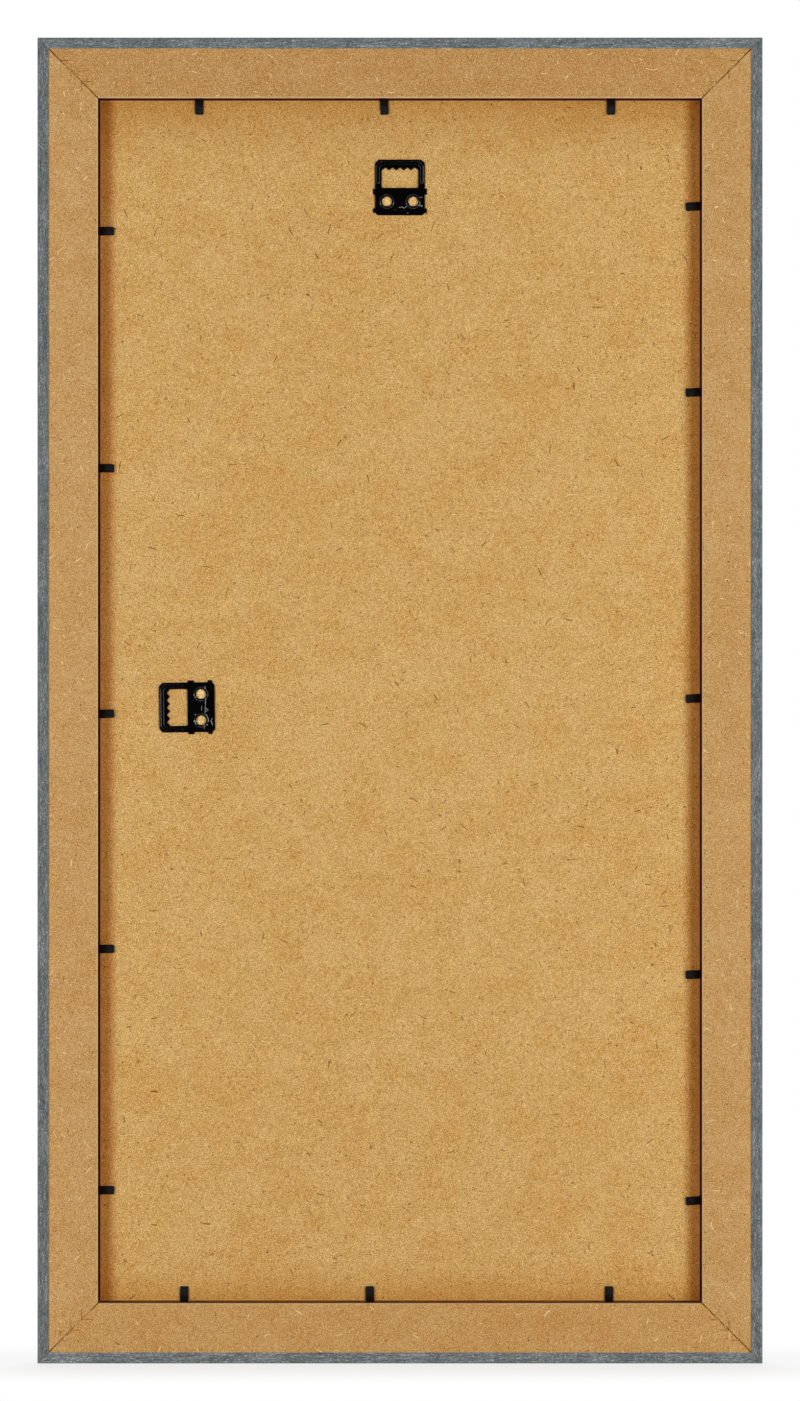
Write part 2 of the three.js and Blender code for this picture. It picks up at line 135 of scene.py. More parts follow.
# Mitres
MITRE_SHUT = 0.01  # half the gap where the two rails meet
MITRE_OPEN = 0.08  # half the gap where they stand apart at the back
MITRE_THROAT = 3.0  # depth at which the gap has closed
MITRE_STEP = 0.9
MITRE_APART = 0.85  # share of the open gap where no nail is near
MITRE_DRAWN = 0.8  # share that the nails take from it
MITRE_HELD = NAIL_OUTER + 1.5 * NAIL_PITCH  # where it is closest, between the inner two nails
MITRE_HOLD = 8.0  # how far from there the joint is drawn together
MITRE_WAVER = 0.4
MITRE_WAVES = ((0.5, 0.42), (0.35, 1.07), (0.3, 2.9))  # height of each, and its turn in a millimetre

# Flexible points, measured from the bend line
POINT_HALF = 2.15
POINT_THICK = 0.45
POINT_TIP = 7.625
POINT_WALL = -0.575
POINT_END = -7.075
POINT_SPEAR = 2
POINT_SPEAR_TIP = 0.08  # share of the width that is left at the driven end
POINT_SHANK_RINGS = (-2.5, -1.2)
POINT_BEND_STEP = 0.12
POINT_BEND_RINGS = 14
POINT_BLADE_RINGS = (2.2, 4.0)
POINT_TIP_RADIUS = 0.9
POINT_TIP_STEPS = 6
POINT_TIP_LEAD = 0.4
POINT_EDGE = 0.1
POINT_EDGE_SHARE = 0.4  # the eased edge takes no more than this of half the width
POINT_TIP_LIT = (2.2, 3.6)  # from here to there the strip is painted lighter towards the tip: painted light, as the rail shades its root
POINT_CREASE = 50

# Hangers, from the apex of the middle notch
HANGER_SHEET = 0.55
HANGER_BAR = 3.9
HANGER_LEG = 3.35
HANGER_BASE = 13.7
HANGER_ROUND = 0.5  # round of the outline's corners
TOP_CHAMFER = 1.8
BASE_CHAMFER = 1.3
NOTCH_COUNT = 5
NOTCH_PITCH = 3.65
NOTCH_DEPTH = 1.5
WINDOW_DROP = 10.25
WINDOW_CHAMFER = 0.5
WINDOW_ROUND = 0.14
CORNER_SHARE = 0.45  # a round takes no more than this of an edge
BEAD_INSET = 1.55
BEAD_HALF = 0.95
BEAD_SLOPE = 0.55  # width of each side, up to its flat crest
BEAD_HEIGHT = 0.36
BEAD_END = 2.95
HOLE_RADIUS = 2.45
HOLE_SPACING = 13.1
HOLE_DROP = 6.8
HOLE_STEPS = 48
RIM_RADIUS = 3.8
RIM_CREST = 3.15
RIM_HEIGHT = 0.24
PRONG_REACH = 0.95
PRONG_DEPTH = 2.3
PRONG_SPANS = ((-13.55, -10.65), (-22.65, -20.55))
PRONG_SINK = 0.02  # how far a prong's root is let into the plate
PRONG_BEND = 0.1
PRONG_BEND_STEPS = 8
PRONG_TAPER = (0.35, 0.5)  # width and length of the slant at the tip
PRONG_EASE = 0.12
PRONG_PINCH = 0.036  # share by which its cut sides are drawn in
PRONG_PINCH_Y = 0.4  # depth that they are drawn towards
HANGER_SEAT = 0.04  # plate to board
LANDSCAPE_SHIFT = -3.6  # off the frame's middle, as it was pressed in
LANDSCAPE_TILT = 0.75  # degrees
HANGER_CELL = 0.18
HANGER_SPARE = 1.0  # how far the slab goes beyond the plate, and the prism in front of it
HANGER_THROUGH = 4  # the prism's own depth
HANGER_CREASE = 40
EDGE_ROUND = 0.25
EDGE_DROP = 0.15
WINDOW_HALF = NOTCH_COUNT * NOTCH_PITCH / 2
HANGER_HALF = WINDOW_HALF + HANGER_LEG
HANGER_BOTTOM = -(WINDOW_DROP + HANGER_BASE)
HOLE_Z = -WINDOW_DROP - HOLE_DROP

# Wear of the hangers' paint, and painted highlights on it
POLISH_SLOPE = (0.35, 0.55)  # slopes at which the paint starts to shine and shines fully
BEAD_POLISH = 0.14  # how far the bead's sides shine, and the rims'
RIM_POLISH = 0.7
BEAD_LINE = 0.7  # from the bead's middle to the painted highlight lines along it
RIM_LINE = 3.4  # radius of the painted highlight line round a hole
RIM_HIGHLIGHT = 0.56
LINE_HALF = 0.11
SCUFF_FADE = 1.5  # a scuff has gone at this many times half its width

# Scuffs: x and z of both ends, then half the width
PORTRAIT_SCUFFS = (
    (-0.5, -20.0, 1.3, -19.8, 0.13),
    (1.3, -19.8, 1.95, -20.4, 0.17),
    (1.95, -20.4, 3.4, -19.4, 0.13),
    (8.9, -18.9, 11.4, -19.1, 0.13),
    (10.3, -19.3, 11.2, -19.7, 0.13),
    (9.9, -14.8, 11.0, -15.0, 0.12),
    (9.4, -17.6, 9.9, -17.6, 0.1),
    (3.8, -22.6, 3.95, -22.9, 0.16),
    (-2.5, -21.1, -2.3, -21.2, 0.13),
)
LANDSCAPE_SCUFFS = (
    (4.9, -19.4, -3.0, -19.0, 0.14),
    (-0.1, -19.0, -1.35, -20.6, 0.13),
    (-1.35, -20.6, -2.2, -19.4, 0.13),
    (10.5, -19.2, 9.3, -19.2, 0.17),
    (5.1, -14.3, 5.0, -14.5, 0.2),
    (-3.4, -13.9, -3.7, -14.3, 0.17),
    (-6.4, -14.0, -8.5, -14.4, 0.17),
    (-3.7, -19.6, -5.6, -20.5, 0.17),
    (-5.6, -20.5, -7.2, -20.6, 0.15),
    (-8.9, -18.5, -10.7, -18.5, 0.13),
    (-8.7, -19.5, -9.0, -20.3, 0.14),
    (-5.6, -22.5, -6.8, -21.9, 0.14),
    (-6.8, -21.9, -8.9, -22.7, 0.18),
    (0.7, -17.3, -1.8, -17.3, 0.11),
)
HANGERS = {  # scuffs, then how strong the painted highlight lines along the bead are on the bar and on the legs: stronger where the bead stands upright and faces the side lamps
    "hanger_portrait": (PORTRAIT_SCUFFS, 0.36, 0.6),
    "hanger_landscape": (LANDSCAPE_SCUFFS, 0.56, 0.38),
}

# Fibreboard. Two limits between which a mark grows or fades are given in that order.
BOARD_SHADE = (0.600, 0.352, 0.106)
RAIL_SHADES_AND_LIGHT = {  # each rail has its own colour, partly set apart to even out how the lamps light the four sides: painted light and shade
    "top": (0.472, 0.246, 0.0755),
    "right": (0.505, 0.286, 0.101),
    "bottom": (0.516, 0.284, 0.0905),
    "left": (0.524, 0.297, 0.106),
}
FIBRE_DARK = (0.21, 0.078, 0.008)
FIBRE_PALE = (0.88, 0.66, 0.345)
HAIR_DARK = (0.15, 0.055, 0.006)
HAIR_PALE = (0.86, 0.66, 0.38)
FACE_TO_EDGE = (0.7, 0.6)  # how the grain of a face slants on down its edges
CLOUD_WIDE = 19.0
CLOUD_HIGH = 15.0
CLOUD_LIMITS = (0.33, 0.69)
DRIFT_SIZE = 120
DRIFT_SHARE = 0.2
FELT_TURNS = (0.35, 1.4, 2.45)  # three ways that the fibres lie
FELT_LENGTH = 2.0
FELT_WIDTH = 0.5
FELT_BEND = 3.5
FELT_SWAY = 5.0
FELT_DARK = (0.47, 0.22)
FELT_PALE = (0.53, 0.78)
FELT_RELIEF = 0.35
DUST_SIZE = 0.48
DUST_DARK = (0.49, 0.29)
DUST_PALE = (0.52, 0.72)
DUST_RELIEF = 0.3
HAIR_SLANT = 1.7  # how far a layer is shifted up, against across
HAIR_BEND = 2.5  # these two in lengths of a hair
HAIR_SWAY = 1.3
HAIR_SCATTER = 0.9
HAIR_SHORTEST = 0.25  # share of the length
HAIR_SIDE = (0.62, 0.25)  # shares of the width
HAIR_TIP = 0.5
SPECK_SLANT = 2.3
SPECK_SCATTER = 1.0
SPECK_SMALLEST = 0.4  # share of the radius
SPECK_SIDE = (1.0, 0.45)

BOARD_MARKS = {
    "warm": (0.95, 0.86, 0.67),
    "light": (1.035, 1.08, 1.15),
    "dark_felt": 0.43,
    "pale_felt": 0.43,
    "dark_dust": 1.0,
    "pale_dust": 0.98,
    "hairs": (
        {"spacing": 13, "length": 5.0, "width": 0.52, "share": 0.18, "strength": 0.9,
         "colour": HAIR_DARK, "shift": 7},
        {"spacing": 5.5, "length": 2.4, "width": 0.42, "share": 0.32, "strength": 0.6,
         "colour": HAIR_DARK, "shift": 31},
        {"spacing": 17, "length": 5.0, "width": 0.45, "share": 0.14, "strength": 0.5,
         "colour": HAIR_PALE, "shift": 53},
    ),
    "specks": (
        {"spacing": 3.2, "radius": 0.5, "share": 0.2, "strength": 0.6, "colour": HAIR_DARK, "shift": 11},
        {"spacing": 2.1, "radius": 0.4, "share": 0.3, "strength": 0.4, "colour": FIBRE_DARK, "shift": 41},
        {"spacing": 8, "radius": 0.68, "share": 0.3, "strength": 0.8, "colour": HAIR_DARK, "shift": 61},
    ),
}
RAIL_MARKS = {
    "warm": (0.945, 0.865, 0.73),
    "light": (1.04, 1.075, 1.13),
    "dark_felt": 0.26,
    "pale_felt": 0.26,
    "dark_dust": 0.95,
    "pale_dust": 0.79,
    "hairs": (
        {"spacing": 22, "length": 4.0, "width": 0.4, "share": 0.2, "strength": 0.7,
         "colour": HAIR_DARK, "shift": 17},
        {"spacing": 9, "length": 4.5, "width": 0.42, "share": 0.3, "strength": 0.75,
         "colour": HAIR_PALE, "shift": 71},
    ),
    "specks": (
        {"spacing": 4.2, "radius": 0.48, "share": 0.2, "strength": 0.65, "colour": HAIR_DARK, "shift": 3},
        {"spacing": 3.4, "radius": 0.42, "share": 0.2, "strength": 0.45, "colour": HAIR_PALE, "shift": 23},
        {"spacing": 9, "radius": 0.66, "share": 0.4, "strength": 0.8, "colour": HAIR_DARK, "shift": 87},
        {"spacing": 1.9, "radius": 0.42, "share": 0.25, "strength": 0.5, "colour": FIBRE_DARK, "shift": 29},
    ),
}

# Painted shade along the board's margins, where the rails shade it, and painted light on the board in the
# hangers' holes, where the plate shades it
SIDE_SHADE_TONE = (0.83, 0.59, 0.38)
SIDE_LIMITS = (9.5, 3.5)
TOP_SHADE_TONE = (0.735, 0.605, 0.43)
TOP_REACH = 42.0
FOOT_SHADE_TONE = (0.82, 0.67, 0.44)
FOOT_REACH = 26.0
SAWN_LIMITS = (0.5, 0.25)
SAWN_STRENGTH = 0.3
HOLE_LIGHT_TONE = (1.36, 1.5, 1.8)
HOLE_LIGHT_SOFT = 0.2
HOLE_LIGHT_LIMITS = (HOLE_RADIUS + HOLE_LIGHT_SOFT, HOLE_RADIUS - HOLE_LIGHT_SOFT)

# Edges of the rails, and the stains along their joints and nails
# paler fibre along the inner arris, partly a painted highlight of its lit edge
ARRIS_PALE_AND_HIGHLIGHT = (0.80, 0.67, 0.49)
ARRIS_LIMITS = (ARRIS_WIDTH * 1.1, ARRIS_WIDTH * 0.7)
ARRIS_STRENGTH = 0.36
WALL_BROWN_AND_SHADE = (0.36, 0.13, 0.02)
WALL_LIMITS = (3.0, 6.0)  # depth to which the sanding reached, and from which the wall is browner, partly painted shade in the gap
WALL_STRENGTH = 0.9
WALL_PAINTED_SHADE = (0.24, 0.068, 0.002)
WALL_SHADE_DEPTHS = (7.5, 9.0)  # from here to there the wall is painted dark: painted shade deep in the rebate, beside the glass
CUT_BROWN = (0.05, 0.018, 0.003)
CUT_DEPTHS = (SKIN + 0.05, SKIN + 0.25)
CUT_INSETS = (ARRIS_WIDTH, ARRIS_WIDTH + 0.2)
STAIN_BROWN = (0.19, 0.058, 0.0)
STAIN_LIMITS = (0.45, 0.18)  # from the joint
JOINT_BEND = 2.2
JOINT_WAVER = 0.9  # how far the stain strays from the mitre
JOINT_BREAKS = 5.0
JOINT_BROKEN = (0.38, 0.58)
JOINT_LEAST = 0.28
JOINT_INNER = (5.0, 1.0)  # between these places along the mitre the stain grows full
JOINT_OUTER = (16.0, 22.0)
LEG_LIMITS = (0.34, 0.08)  # from a nail's leg
LEG_BEND = 1.1
LEG_WAVER = 0.9
LEG_HEEL = 0.2  # beyond the leg's ends the stain fades over these lengths
LEG_TOE = 1
LEG_PATCHES = 6
LEG_SHOWN = (0.4, 0.58)
LEG_STRENGTH = 0.75

# Foil print
# each rail's foil is made lighter or darker to even out how the lamps light the four sides: painted light
# and shade
FOIL_SIDE_LIGHT = {"top": 1.02, "right": 0.91, "bottom": 1.095, "left": 0.875}
FOIL_LAYERS = (  # length and width of the streaks, a number of their own, detail and roughness
    (20, 1.5, 0.0, 3, 0.6),  # long streaks
    (3.4, 0.85, 7.0, 3, 0.65),  # short streaks
    (0.9, 0.55, 11.0, 2, 0.6),  # flecks
    (14, 5, 3.0, 2, 0.5),  # patches
    (6, 2.5, 5.0, 2, 0.5),  # tints
)
FOIL_SHARES = (0.2, 0.36, 0.44)  # of the first three in the tone
FOIL_RAMP = (
    (0.36, (0.030, 0.038, 0.044)),
    (0.46, (0.096, 0.110, 0.116)),
    (0.54, (0.174, 0.190, 0.195)),
    (0.65, (0.46, 0.475, 0.48)),
)
FOIL_LIGHT = (1.12, 1.12, 1.12)
FOIL_DEEP = (0.86, 0.865, 0.875)
FOIL_PATCHES = (0.36, 0.66)
FOIL_WARM = (1.015, 1.01, 0.965)
FOIL_COOL = (0.97, 0.99, 1.015)
FOIL_TINTS = (0.36, 0.64)

# Colours of the other finishes
PAINT_BLACK = (0.0011, 0.0009, 0.0008)
PAINT_DUSTY = (0.007, 0.0065, 0.006)
# grey of bare scuffs and of the painted highlight lines
PAINT_SCUFF_AND_HIGHLIGHT = (0.34, 0.355, 0.36)
STRIP_BLACK = (0.0062, 0.0026, 0.0018)
# grey and paler tones of the points' painted light towards the tip, where the rail does not shade the strip
STRIP_TIP_GREY = (0.0085, 0.0082, 0.0072)
STRIP_TIP_PALE = (0.0165, 0.0165, 0.0155)
STRIP_BRIGHT = (0.07, 0.07, 0.07)
NAIL_BROWN = (0.05, 0.026, 0.011)
NAIL_DARK = (0.03, 0.013, 0.004)
GLASS_CLEAR = (0.97, 0.985, 0.975)
GLASS_SMEARED = (0.93, 0.95, 0.94)
PAPER_WHITE = (0.90, 0.89, 0.855)
PAPER_FIBRE = (0.82, 0.805, 0.765)
PAPER_CLOUD = (0.84, 0.825, 0.785)

# Studio, in metres and watts
FLOOR_REACH = 4.0
FLOOR_PARTS = 8
FLOOR_KEEP = 0.22  # share of the floor's own shade that shows beside the frame
FLOOR_LIMITS = (130.0, 5.0)  # millimetres from the frame
FLOOR_CLOUDS = 60
FLOOR_PALE = (0.9, 0.9, 0.9)
FLOOR_GREY = (0.86, 0.86, 0.86)
CAMERA_FAR = 4.0
CAMERA_LENS = 205.9
CAMERA_CLIP = 50
SOFTBOX_SIZE = (1.0, 0.32)
SOFTBOX_X = 1.96
SOFTBOX_Y = 1.57
SOFTBOX_Z = -0.43
LEFT_POWER = 35.2
RIGHT_POWER = 43.2
FRONT_SIZE = (1.2, 0.6)
FRONT_PLACE = (0, 1.3, 0.9)
FRONT_POWER = 28.0
AMBIENT = 0.1
WHITE = (1, 1, 1)


def rail_place(turn, across):
    """From a rail's own frame, with its outer side at Z = 0, to the part's frame."""
    middle = Matrix.Translation((0, 0, MIDDLE_Z))
    return middle @ Matrix.Rotation(turn, 4, "Y") @ Matrix.Translation((0, 0, across / 2))


def point_place(joint):
    """From a point's own frame to the part's: X across the strip, Y to the front, Z out to its tip."""
    across = Vector(joint["axis"]).normalized()
    front = Vector((0, 1, 0))
    out = (-front).cross(across)
    turned = Matrix((across, front, out)).transposed().to_4x4()
    return Matrix.Translation(Vector(joint["pos_m"]) / MM) @ turned


def hanger_place(node):
    """Where a hanger's own frame is: the portrait one's notch is the part's origin."""
    seat = BOARD_LOW.y - HANGER_SEAT
    if node == "hanger_portrait":
        return Matrix.Translation((0, seat, 0))
    notch_to_edge = BOARD_HIGH.z
    middle = (BOARD_LOW.x + notch_to_edge, seat, MIDDLE_Z + LANDSCAPE_SHIFT)
    turn = -QUARTER - math.radians(LANDSCAPE_TILT)
    return Matrix.Translation(middle) @ Matrix.Rotation(turn, 4, "Y")


class Wire:
    """A value that runs through a material. Sums and products of wires add Math nodes."""

    def __init__(self, paint, socket):
        self.paint = paint
        self.socket = socket

    def __add__(self, other):
        return self.paint.maths("ADD", self, other)

    def __sub__(self, other):
        return self.paint.maths("SUBTRACT", self, other)

    def __rsub__(self, other):
        return self.paint.maths("SUBTRACT", other, self)

    def __mul__(self, other):
        return self.paint.maths("MULTIPLY", self, other)

    def __truediv__(self, other):
        return self.paint.maths("DIVIDE", self, other)

    def __lt__(self, other):
        return self.paint.maths("LESS_THAN", self, other)

    def __abs__(self):
        return self.paint.maths("ABSOLUTE", self)

    __radd__ = __add__
    __rmul__ = __mul__


class Paint:
    """The nodes of one material, or of the world."""

    def __init__(self, holder):
        holder.use_nodes = True
        self.holder = holder
        self.tree = holder.node_tree
        self.tree.nodes.clear()

    def node(self, kind, settings=None, sockets=None, out=0):
        """A node of that kind, with its settings, then its sockets' values or wires."""
        made = self.tree.nodes.new("ShaderNode" + kind)
        for key, value in (settings or {}).items():
            if key == "stops":
                ramp = made.color_ramp.elements
                while len(ramp) < len(value):
                    ramp.new(1)
                for stop, (place, colour) in zip(ramp, value):
                    stop.position = place
                    stop.color = (*colour, 1)
            else:
                setattr(made, key, value)
        for key, value in (sockets or {}).items():
            socket = made.inputs[key]
            if isinstance(value, Wire):
                self.tree.links.new(value.socket, socket)
            elif socket.type == "RGBA":
                socket.default_value = (*value, 1)
            else:
                socket.default_value = value
        return Wire(self, made.outputs[out]) if made.outputs else None

    def maths(self, operation, *values):
        return self.node("Math", {"operation": operation}, dict(enumerate(values)))

    def least(self, one, other):
        return self.maths("MINIMUM", one, other)

    def most(self, one, other):
        return self.maths("MAXIMUM", one, other)

    def vector(self, operation, *values, out=0):
        return self.node("VectorMath", {"operation": operation}, dict(enumerate(values)), out)

    def scale(self, vector, factor):
        return self.node("VectorMath", {"operation": "SCALE"}, {0: vector, "Scale": factor})

    def mix(self, share, first, second, how="MIX"):
        settings = {"data_type": "RGBA", "blend_type": how}
        return self.node("Mix", settings, {0: share, 6: first, 7: second}, 2)

    def step(self, value, low, high):
        """0 up to low, 1 from high, smooth between. Low may be the larger."""
        sockets = {"Value": value, "From Min": low, "From Max": high}
        return self.node("MapRange", {"interpolation_type": "SMOOTHSTEP"}, sockets)

    def place(self):
        """Where a point is in the part's frame, in millimetres."""
        return self.scale(self.node("TexCoord", out="Object"), 1 / MM)

    def field(self, name, out="Fac"):
        """Numbers that a mesh carries."""
        return self.node("Attribute", {"attribute_name": name}, None, out)

    def split(self, where):
        return [self.node("SeparateXYZ", None, {0: where}, axis) for axis in range(3)]

    def join(self, x, y, z):
        return self.node("CombineXYZ", None, {0: x, 1: y, 2: z})

    def noise(self, where, size, detail=2, rough=0.5, colour=False):
        """Noise whose lumps are about that many millimetres across."""
        sockets = {"Vector": where, "Scale": 1 / size, "Detail": detail, "Roughness": rough}
        return self.node("TexNoise", None, sockets, "Color" if colour else 0)

    def streaks(self, along, across, length, width, own, detail, rough):
        """Noise drawn out one way. Its own number sets it apart from other streaks."""
        return self.noise(self.join(along / length, across / width, own), 1, detail, rough)

    def sway(self, where, size, reach):
        """A push to any side, up to half that reach, that changes over about that size."""
        push = self.vector("SUBTRACT", self.noise(where, size, detail=1, colour=True), (0.5, 0.5, 0.5))
        return self.scale(push, reach)

    def cells(self, where, spacing, scatter, out):
        """One output of a plane that is parted into scattered cells."""
        sockets = {"Vector": where, "Scale": 1 / spacing, "Randomness": scatter}
        return self.node("TexVoronoi", {"voronoi_dimensions": "2D"}, sockets, out)

    def bump(self, height, depth, strength):
        """A normal for a height that runs from 0 to 1 over that depth in millimetres."""
        sockets = {"Height": height, "Distance": depth * MM, "Strength": strength}
        return self.node("Bump", None, sockets)

    def surface(self, **sockets):
        """Closes the material with its shader and hands it over."""
        named = {key.replace("_", " "): value for key, value in sockets.items()}
        shader = self.node("BsdfPrincipled", None, named)
        self.node("OutputMaterial", None, {"Surface": shader})
        return self.holder


def finish(name):
    """The paint of a new material."""
    return Paint(bpy.data.materials.new(name))


def hairs(paint, where, layer):
    """Loose fibres lying at all angles, at most one to a cell: 1 on a fibre, 0 beside it."""
    length, width = layer["length"], layer["width"]
    moved = paint.vector("ADD", where, (layer["shift"], HAIR_SLANT * layer["shift"], 0))
    moved = paint.vector("ADD", moved, paint.sway(moved, HAIR_BEND * length, HAIR_SWAY * length))
    cell = paint.cells(moved, layer["spacing"], HAIR_SCATTER, "Position")
    turn, size, pick = paint.split(paint.cells(moved, layer["spacing"], HAIR_SCATTER, "Color"))
    x, z, _ = paint.split(paint.vector("SUBTRACT", moved, cell))
    angle = turn * math.tau
    cosine = paint.maths("COSINE", angle)
    sine = paint.maths("SINE", angle)
    reach = (size * (1 - HAIR_SHORTEST) + HAIR_SHORTEST) * (length / 2)
    along = abs(x * cosine + z * sine) / reach
    across = abs(z * cosine - x * sine)
    bare, full = HAIR_SIDE
    body = paint.step(across, width * bare, width * full)
    return body * paint.step(1 - along * along, 0.0, HAIR_TIP) * (pick < layer["share"])


def specks(paint, where, layer):
    """Round specks, at most one to a cell."""
    spacing = layer["spacing"]
    moved = paint.vector("ADD", where, (layer["shift"], SPECK_SLANT * layer["shift"], 0))
    far = paint.cells(moved, spacing, SPECK_SCATTER, "Distance") * spacing
    size, pick, _ = paint.split(paint.cells(moved, spacing, SPECK_SCATTER, "Color"))
    edge = (size * (1 - SPECK_SMALLEST) + SPECK_SMALLEST) * layer["radius"]
    return paint.step(far / edge, *SPECK_SIDE) * (pick < layer["share"])


def felt(paint, where):
    """Fibres pressed flat at all angles: the darkest and the palest that lie at each point."""
    layers = []
    for turn in FELT_TURNS:
        sockets = {"Vector": where, "Angle": turn}
        along, across, _ = paint.split(paint.node("VectorRotate", {"rotation_type": "Z_AXIS"}, sockets))
        layers.append(paint.streaks(along, across, FELT_LENGTH, FELT_WIDTH, turn, detail=2, rough=0.6))
    return reduce(paint.least, layers), reduce(paint.most, layers)


def tinted(colour, tint):
    """A colour times a tint."""
    return tuple(part * share for part, share in zip(colour, tint))


def fibreboard(name, base, marks, edge):
    """Bare pressed wood fibre: a felted grain, soft warm clouds and loose fibres."""
    paint = finish(name)
    where = paint.place()
    x, y, z = paint.split(where)
    over, up = FACE_TO_EDGE
    flat = paint.join(x + y * over, z + y * up, 0.0)
    spread = paint.join(x / CLOUD_WIDE, y / CLOUD_HIGH, z / CLOUD_HIGH)
    cloud = paint.noise(spread, 1, detail=3, rough=0.68)
    cloud = cloud * (1 - DRIFT_SHARE) + paint.noise(where, DRIFT_SIZE) * DRIFT_SHARE
    light, warm = tinted(base, marks["light"]), tinted(base, marks["warm"])
    colour = paint.mix(paint.step(cloud, *CLOUD_LIMITS), light, warm)
    darkest, palest = felt(paint, paint.vector("ADD", flat, paint.sway(where, FELT_BEND, FELT_SWAY)))
    dust = paint.noise(where, DUST_SIZE, rough=0.7)
    for grain, limits, strength, shade in (
        (darkest, FELT_DARK, marks["dark_felt"], FIBRE_DARK),
        (palest, FELT_PALE, marks["pale_felt"], FIBRE_PALE),
        (dust, DUST_DARK, marks["dark_dust"], FIBRE_DARK),
        (dust, DUST_PALE, marks["pale_dust"], FIBRE_PALE),
    ):
        colour = paint.mix(paint.step(grain, *limits) * strength, colour, shade)
    for draw, layers in ((hairs, marks["hairs"]), (specks, marks["specks"])):
        for layer in layers:
            mask = draw(paint, flat, layer)
            colour = paint.mix(mask * layer["strength"], colour, layer["colour"])
    colour = edge(paint, where, colour)
    relief = (darkest + palest) * FELT_RELIEF + dust * DUST_RELIEF
    normal = paint.bump(relief, depth=0.06, strength=0.6)
    rough = 0.62 + relief * 0.3
    return paint.surface(Base_Color=colour, Roughness=rough, Specular_IOR_Level=0.0, Normal=normal)


def board_edge(paint, where, colour):
    """The board's sawn edge is paler, its margins are darker as painted shade under the rails, and it is
    lighter in the hangers' holes as painted light where the plate shades it.
    """
    x, _, z = paint.split(where)
    half_width = (BOARD_HIGH.x - BOARD_LOW.x) / 2
    half_height = (BOARD_HIGH.z - BOARD_LOW.z) / 2
    from_side = half_width - abs(x)
    from_end = half_height - abs(z - MIDDLE_Z)
    # painted shade: darker beside the side rails and towards the top and the foot, where the rails shade
    # the board
    colour = paint.mix(paint.step(from_side, *SIDE_LIMITS), colour, SIDE_SHADE_TONE, "MULTIPLY")
    for up, tone, reach in ((1, TOP_SHADE_TONE, TOP_REACH), (-1, FOOT_SHADE_TONE, FOOT_REACH)):
        far = half_height - (z - MIDDLE_Z) * up
        fade = paint.most(1 - far / reach, 0.0)
        colour = paint.mix(fade * fade, colour, tone, "MULTIPLY")
    sawn = paint.step(paint.least(from_side, from_end), *SAWN_LIMITS)
    colour = paint.mix(sawn * SAWN_STRENGTH, colour, HAIR_PALE)
    flat = paint.join(x, 0.0, z)
    # painted light: lighter inside the hangers' holes, where the plate shades the board
    for hanger in HANGERS:
        for side in (-1, 1):
            middle = hanger_place(hanger) @ Vector((side * HOLE_SPACING / 2, 0, HOLE_Z))
            far = paint.vector("DISTANCE", flat, (middle.x, 0.0, middle.z), out="Value")
            colour = paint.mix(paint.step(far, *HOLE_LIGHT_LIMITS), colour, HOLE_LIGHT_TONE, "MULTIPLY")
    return colour


def joint_stain(paint, where, into_side, into_end):
    """A brown line along each mitre, broken except at its ends."""
    stray = (paint.noise(where, JOINT_BEND) - 0.5) * JOINT_WAVER
    from_joint = abs((into_side - into_end) * math.sqrt(0.5) + stray)
    broken = paint.step(paint.noise(where, JOINT_BREAKS, detail=4, rough=0.7), *JOINT_BROKEN)
    inward = paint.least(into_side, into_end)
    ends = paint.most(paint.step(inward, *JOINT_INNER), paint.step(inward, *JOINT_OUTER))
    strong = paint.most(broken * (1 - JOINT_LEAST) + JOINT_LEAST, ends)
    return paint.step(from_joint, *STAIN_LIMITS) * strong


def nail_stain(paint, where, into_side, into_end):
    """A brown line over each leg of the corner nails, which shows in patches."""
    stray = (paint.noise(where, LEG_BEND, detail=3, rough=0.6) - 0.5) * LEG_WAVER
    legs = 0.0
    for i in range(NAIL_COUNT):
        heel = RAIL_WIDTH - NAIL_OUTER - i * NAIL_PITCH
        toe = heel - NAIL_LEG
        for one, other in ((into_side, into_end), (into_end, into_side)):
            near = paint.step(abs(one - heel + stray), *LEG_LIMITS)
            along = paint.step(other, heel + LEG_HEEL, heel) * paint.step(other, toe, toe + LEG_TOE)
            legs = paint.most(near * along, legs)
    shown = paint.step(paint.noise(where, LEG_PATCHES, detail=3, rough=0.7), *LEG_SHOWN)
    return legs * shown * LEG_STRENGTH


def rail_edge(paint, where, colour):
    """The arris is paler than the face, partly a painted highlight along its lit edge; the sawn wall goes
    browner and then dark with depth, partly painted shade in the gap; and glue has stained the joints.
    """
    x, y, z = paint.split(where)
    into_side = abs(x) - (OUTER_WIDTH / 2 - RAIL_WIDTH)
    into_end = abs(z - MIDDLE_Z) - (OUTER_HEIGHT / 2 - RAIL_WIDTH)
    inset = paint.most(into_side, into_end)
    # partly painted highlight: the arris is paler along the lit inner edge
    colour = paint.mix(paint.step(inset, *ARRIS_LIMITS) * ARRIS_STRENGTH, colour, ARRIS_PALE_AND_HIGHLIGHT)
    stain = paint.most(joint_stain(paint, where, into_side, into_end),
                       nail_stain(paint, where, into_side, into_end))
    colour = paint.mix(stain, colour, STAIN_BROWN)
    # partly painted shade: the wall goes browner with depth, down into the gap
    colour = paint.mix(paint.step(y, *WALL_LIMITS) * WALL_STRENGTH, colour, WALL_BROWN_AND_SHADE)
    # painted shade: dark deep in the rebate, beside the glass
    colour = paint.mix(paint.step(y, *WALL_SHADE_DEPTHS), colour, WALL_PAINTED_SHADE)
    cut = paint.step(inset, *CUT_INSETS) * paint.step(y, *CUT_DEPTHS)
    return paint.mix(cut, colour, CUT_BROWN)


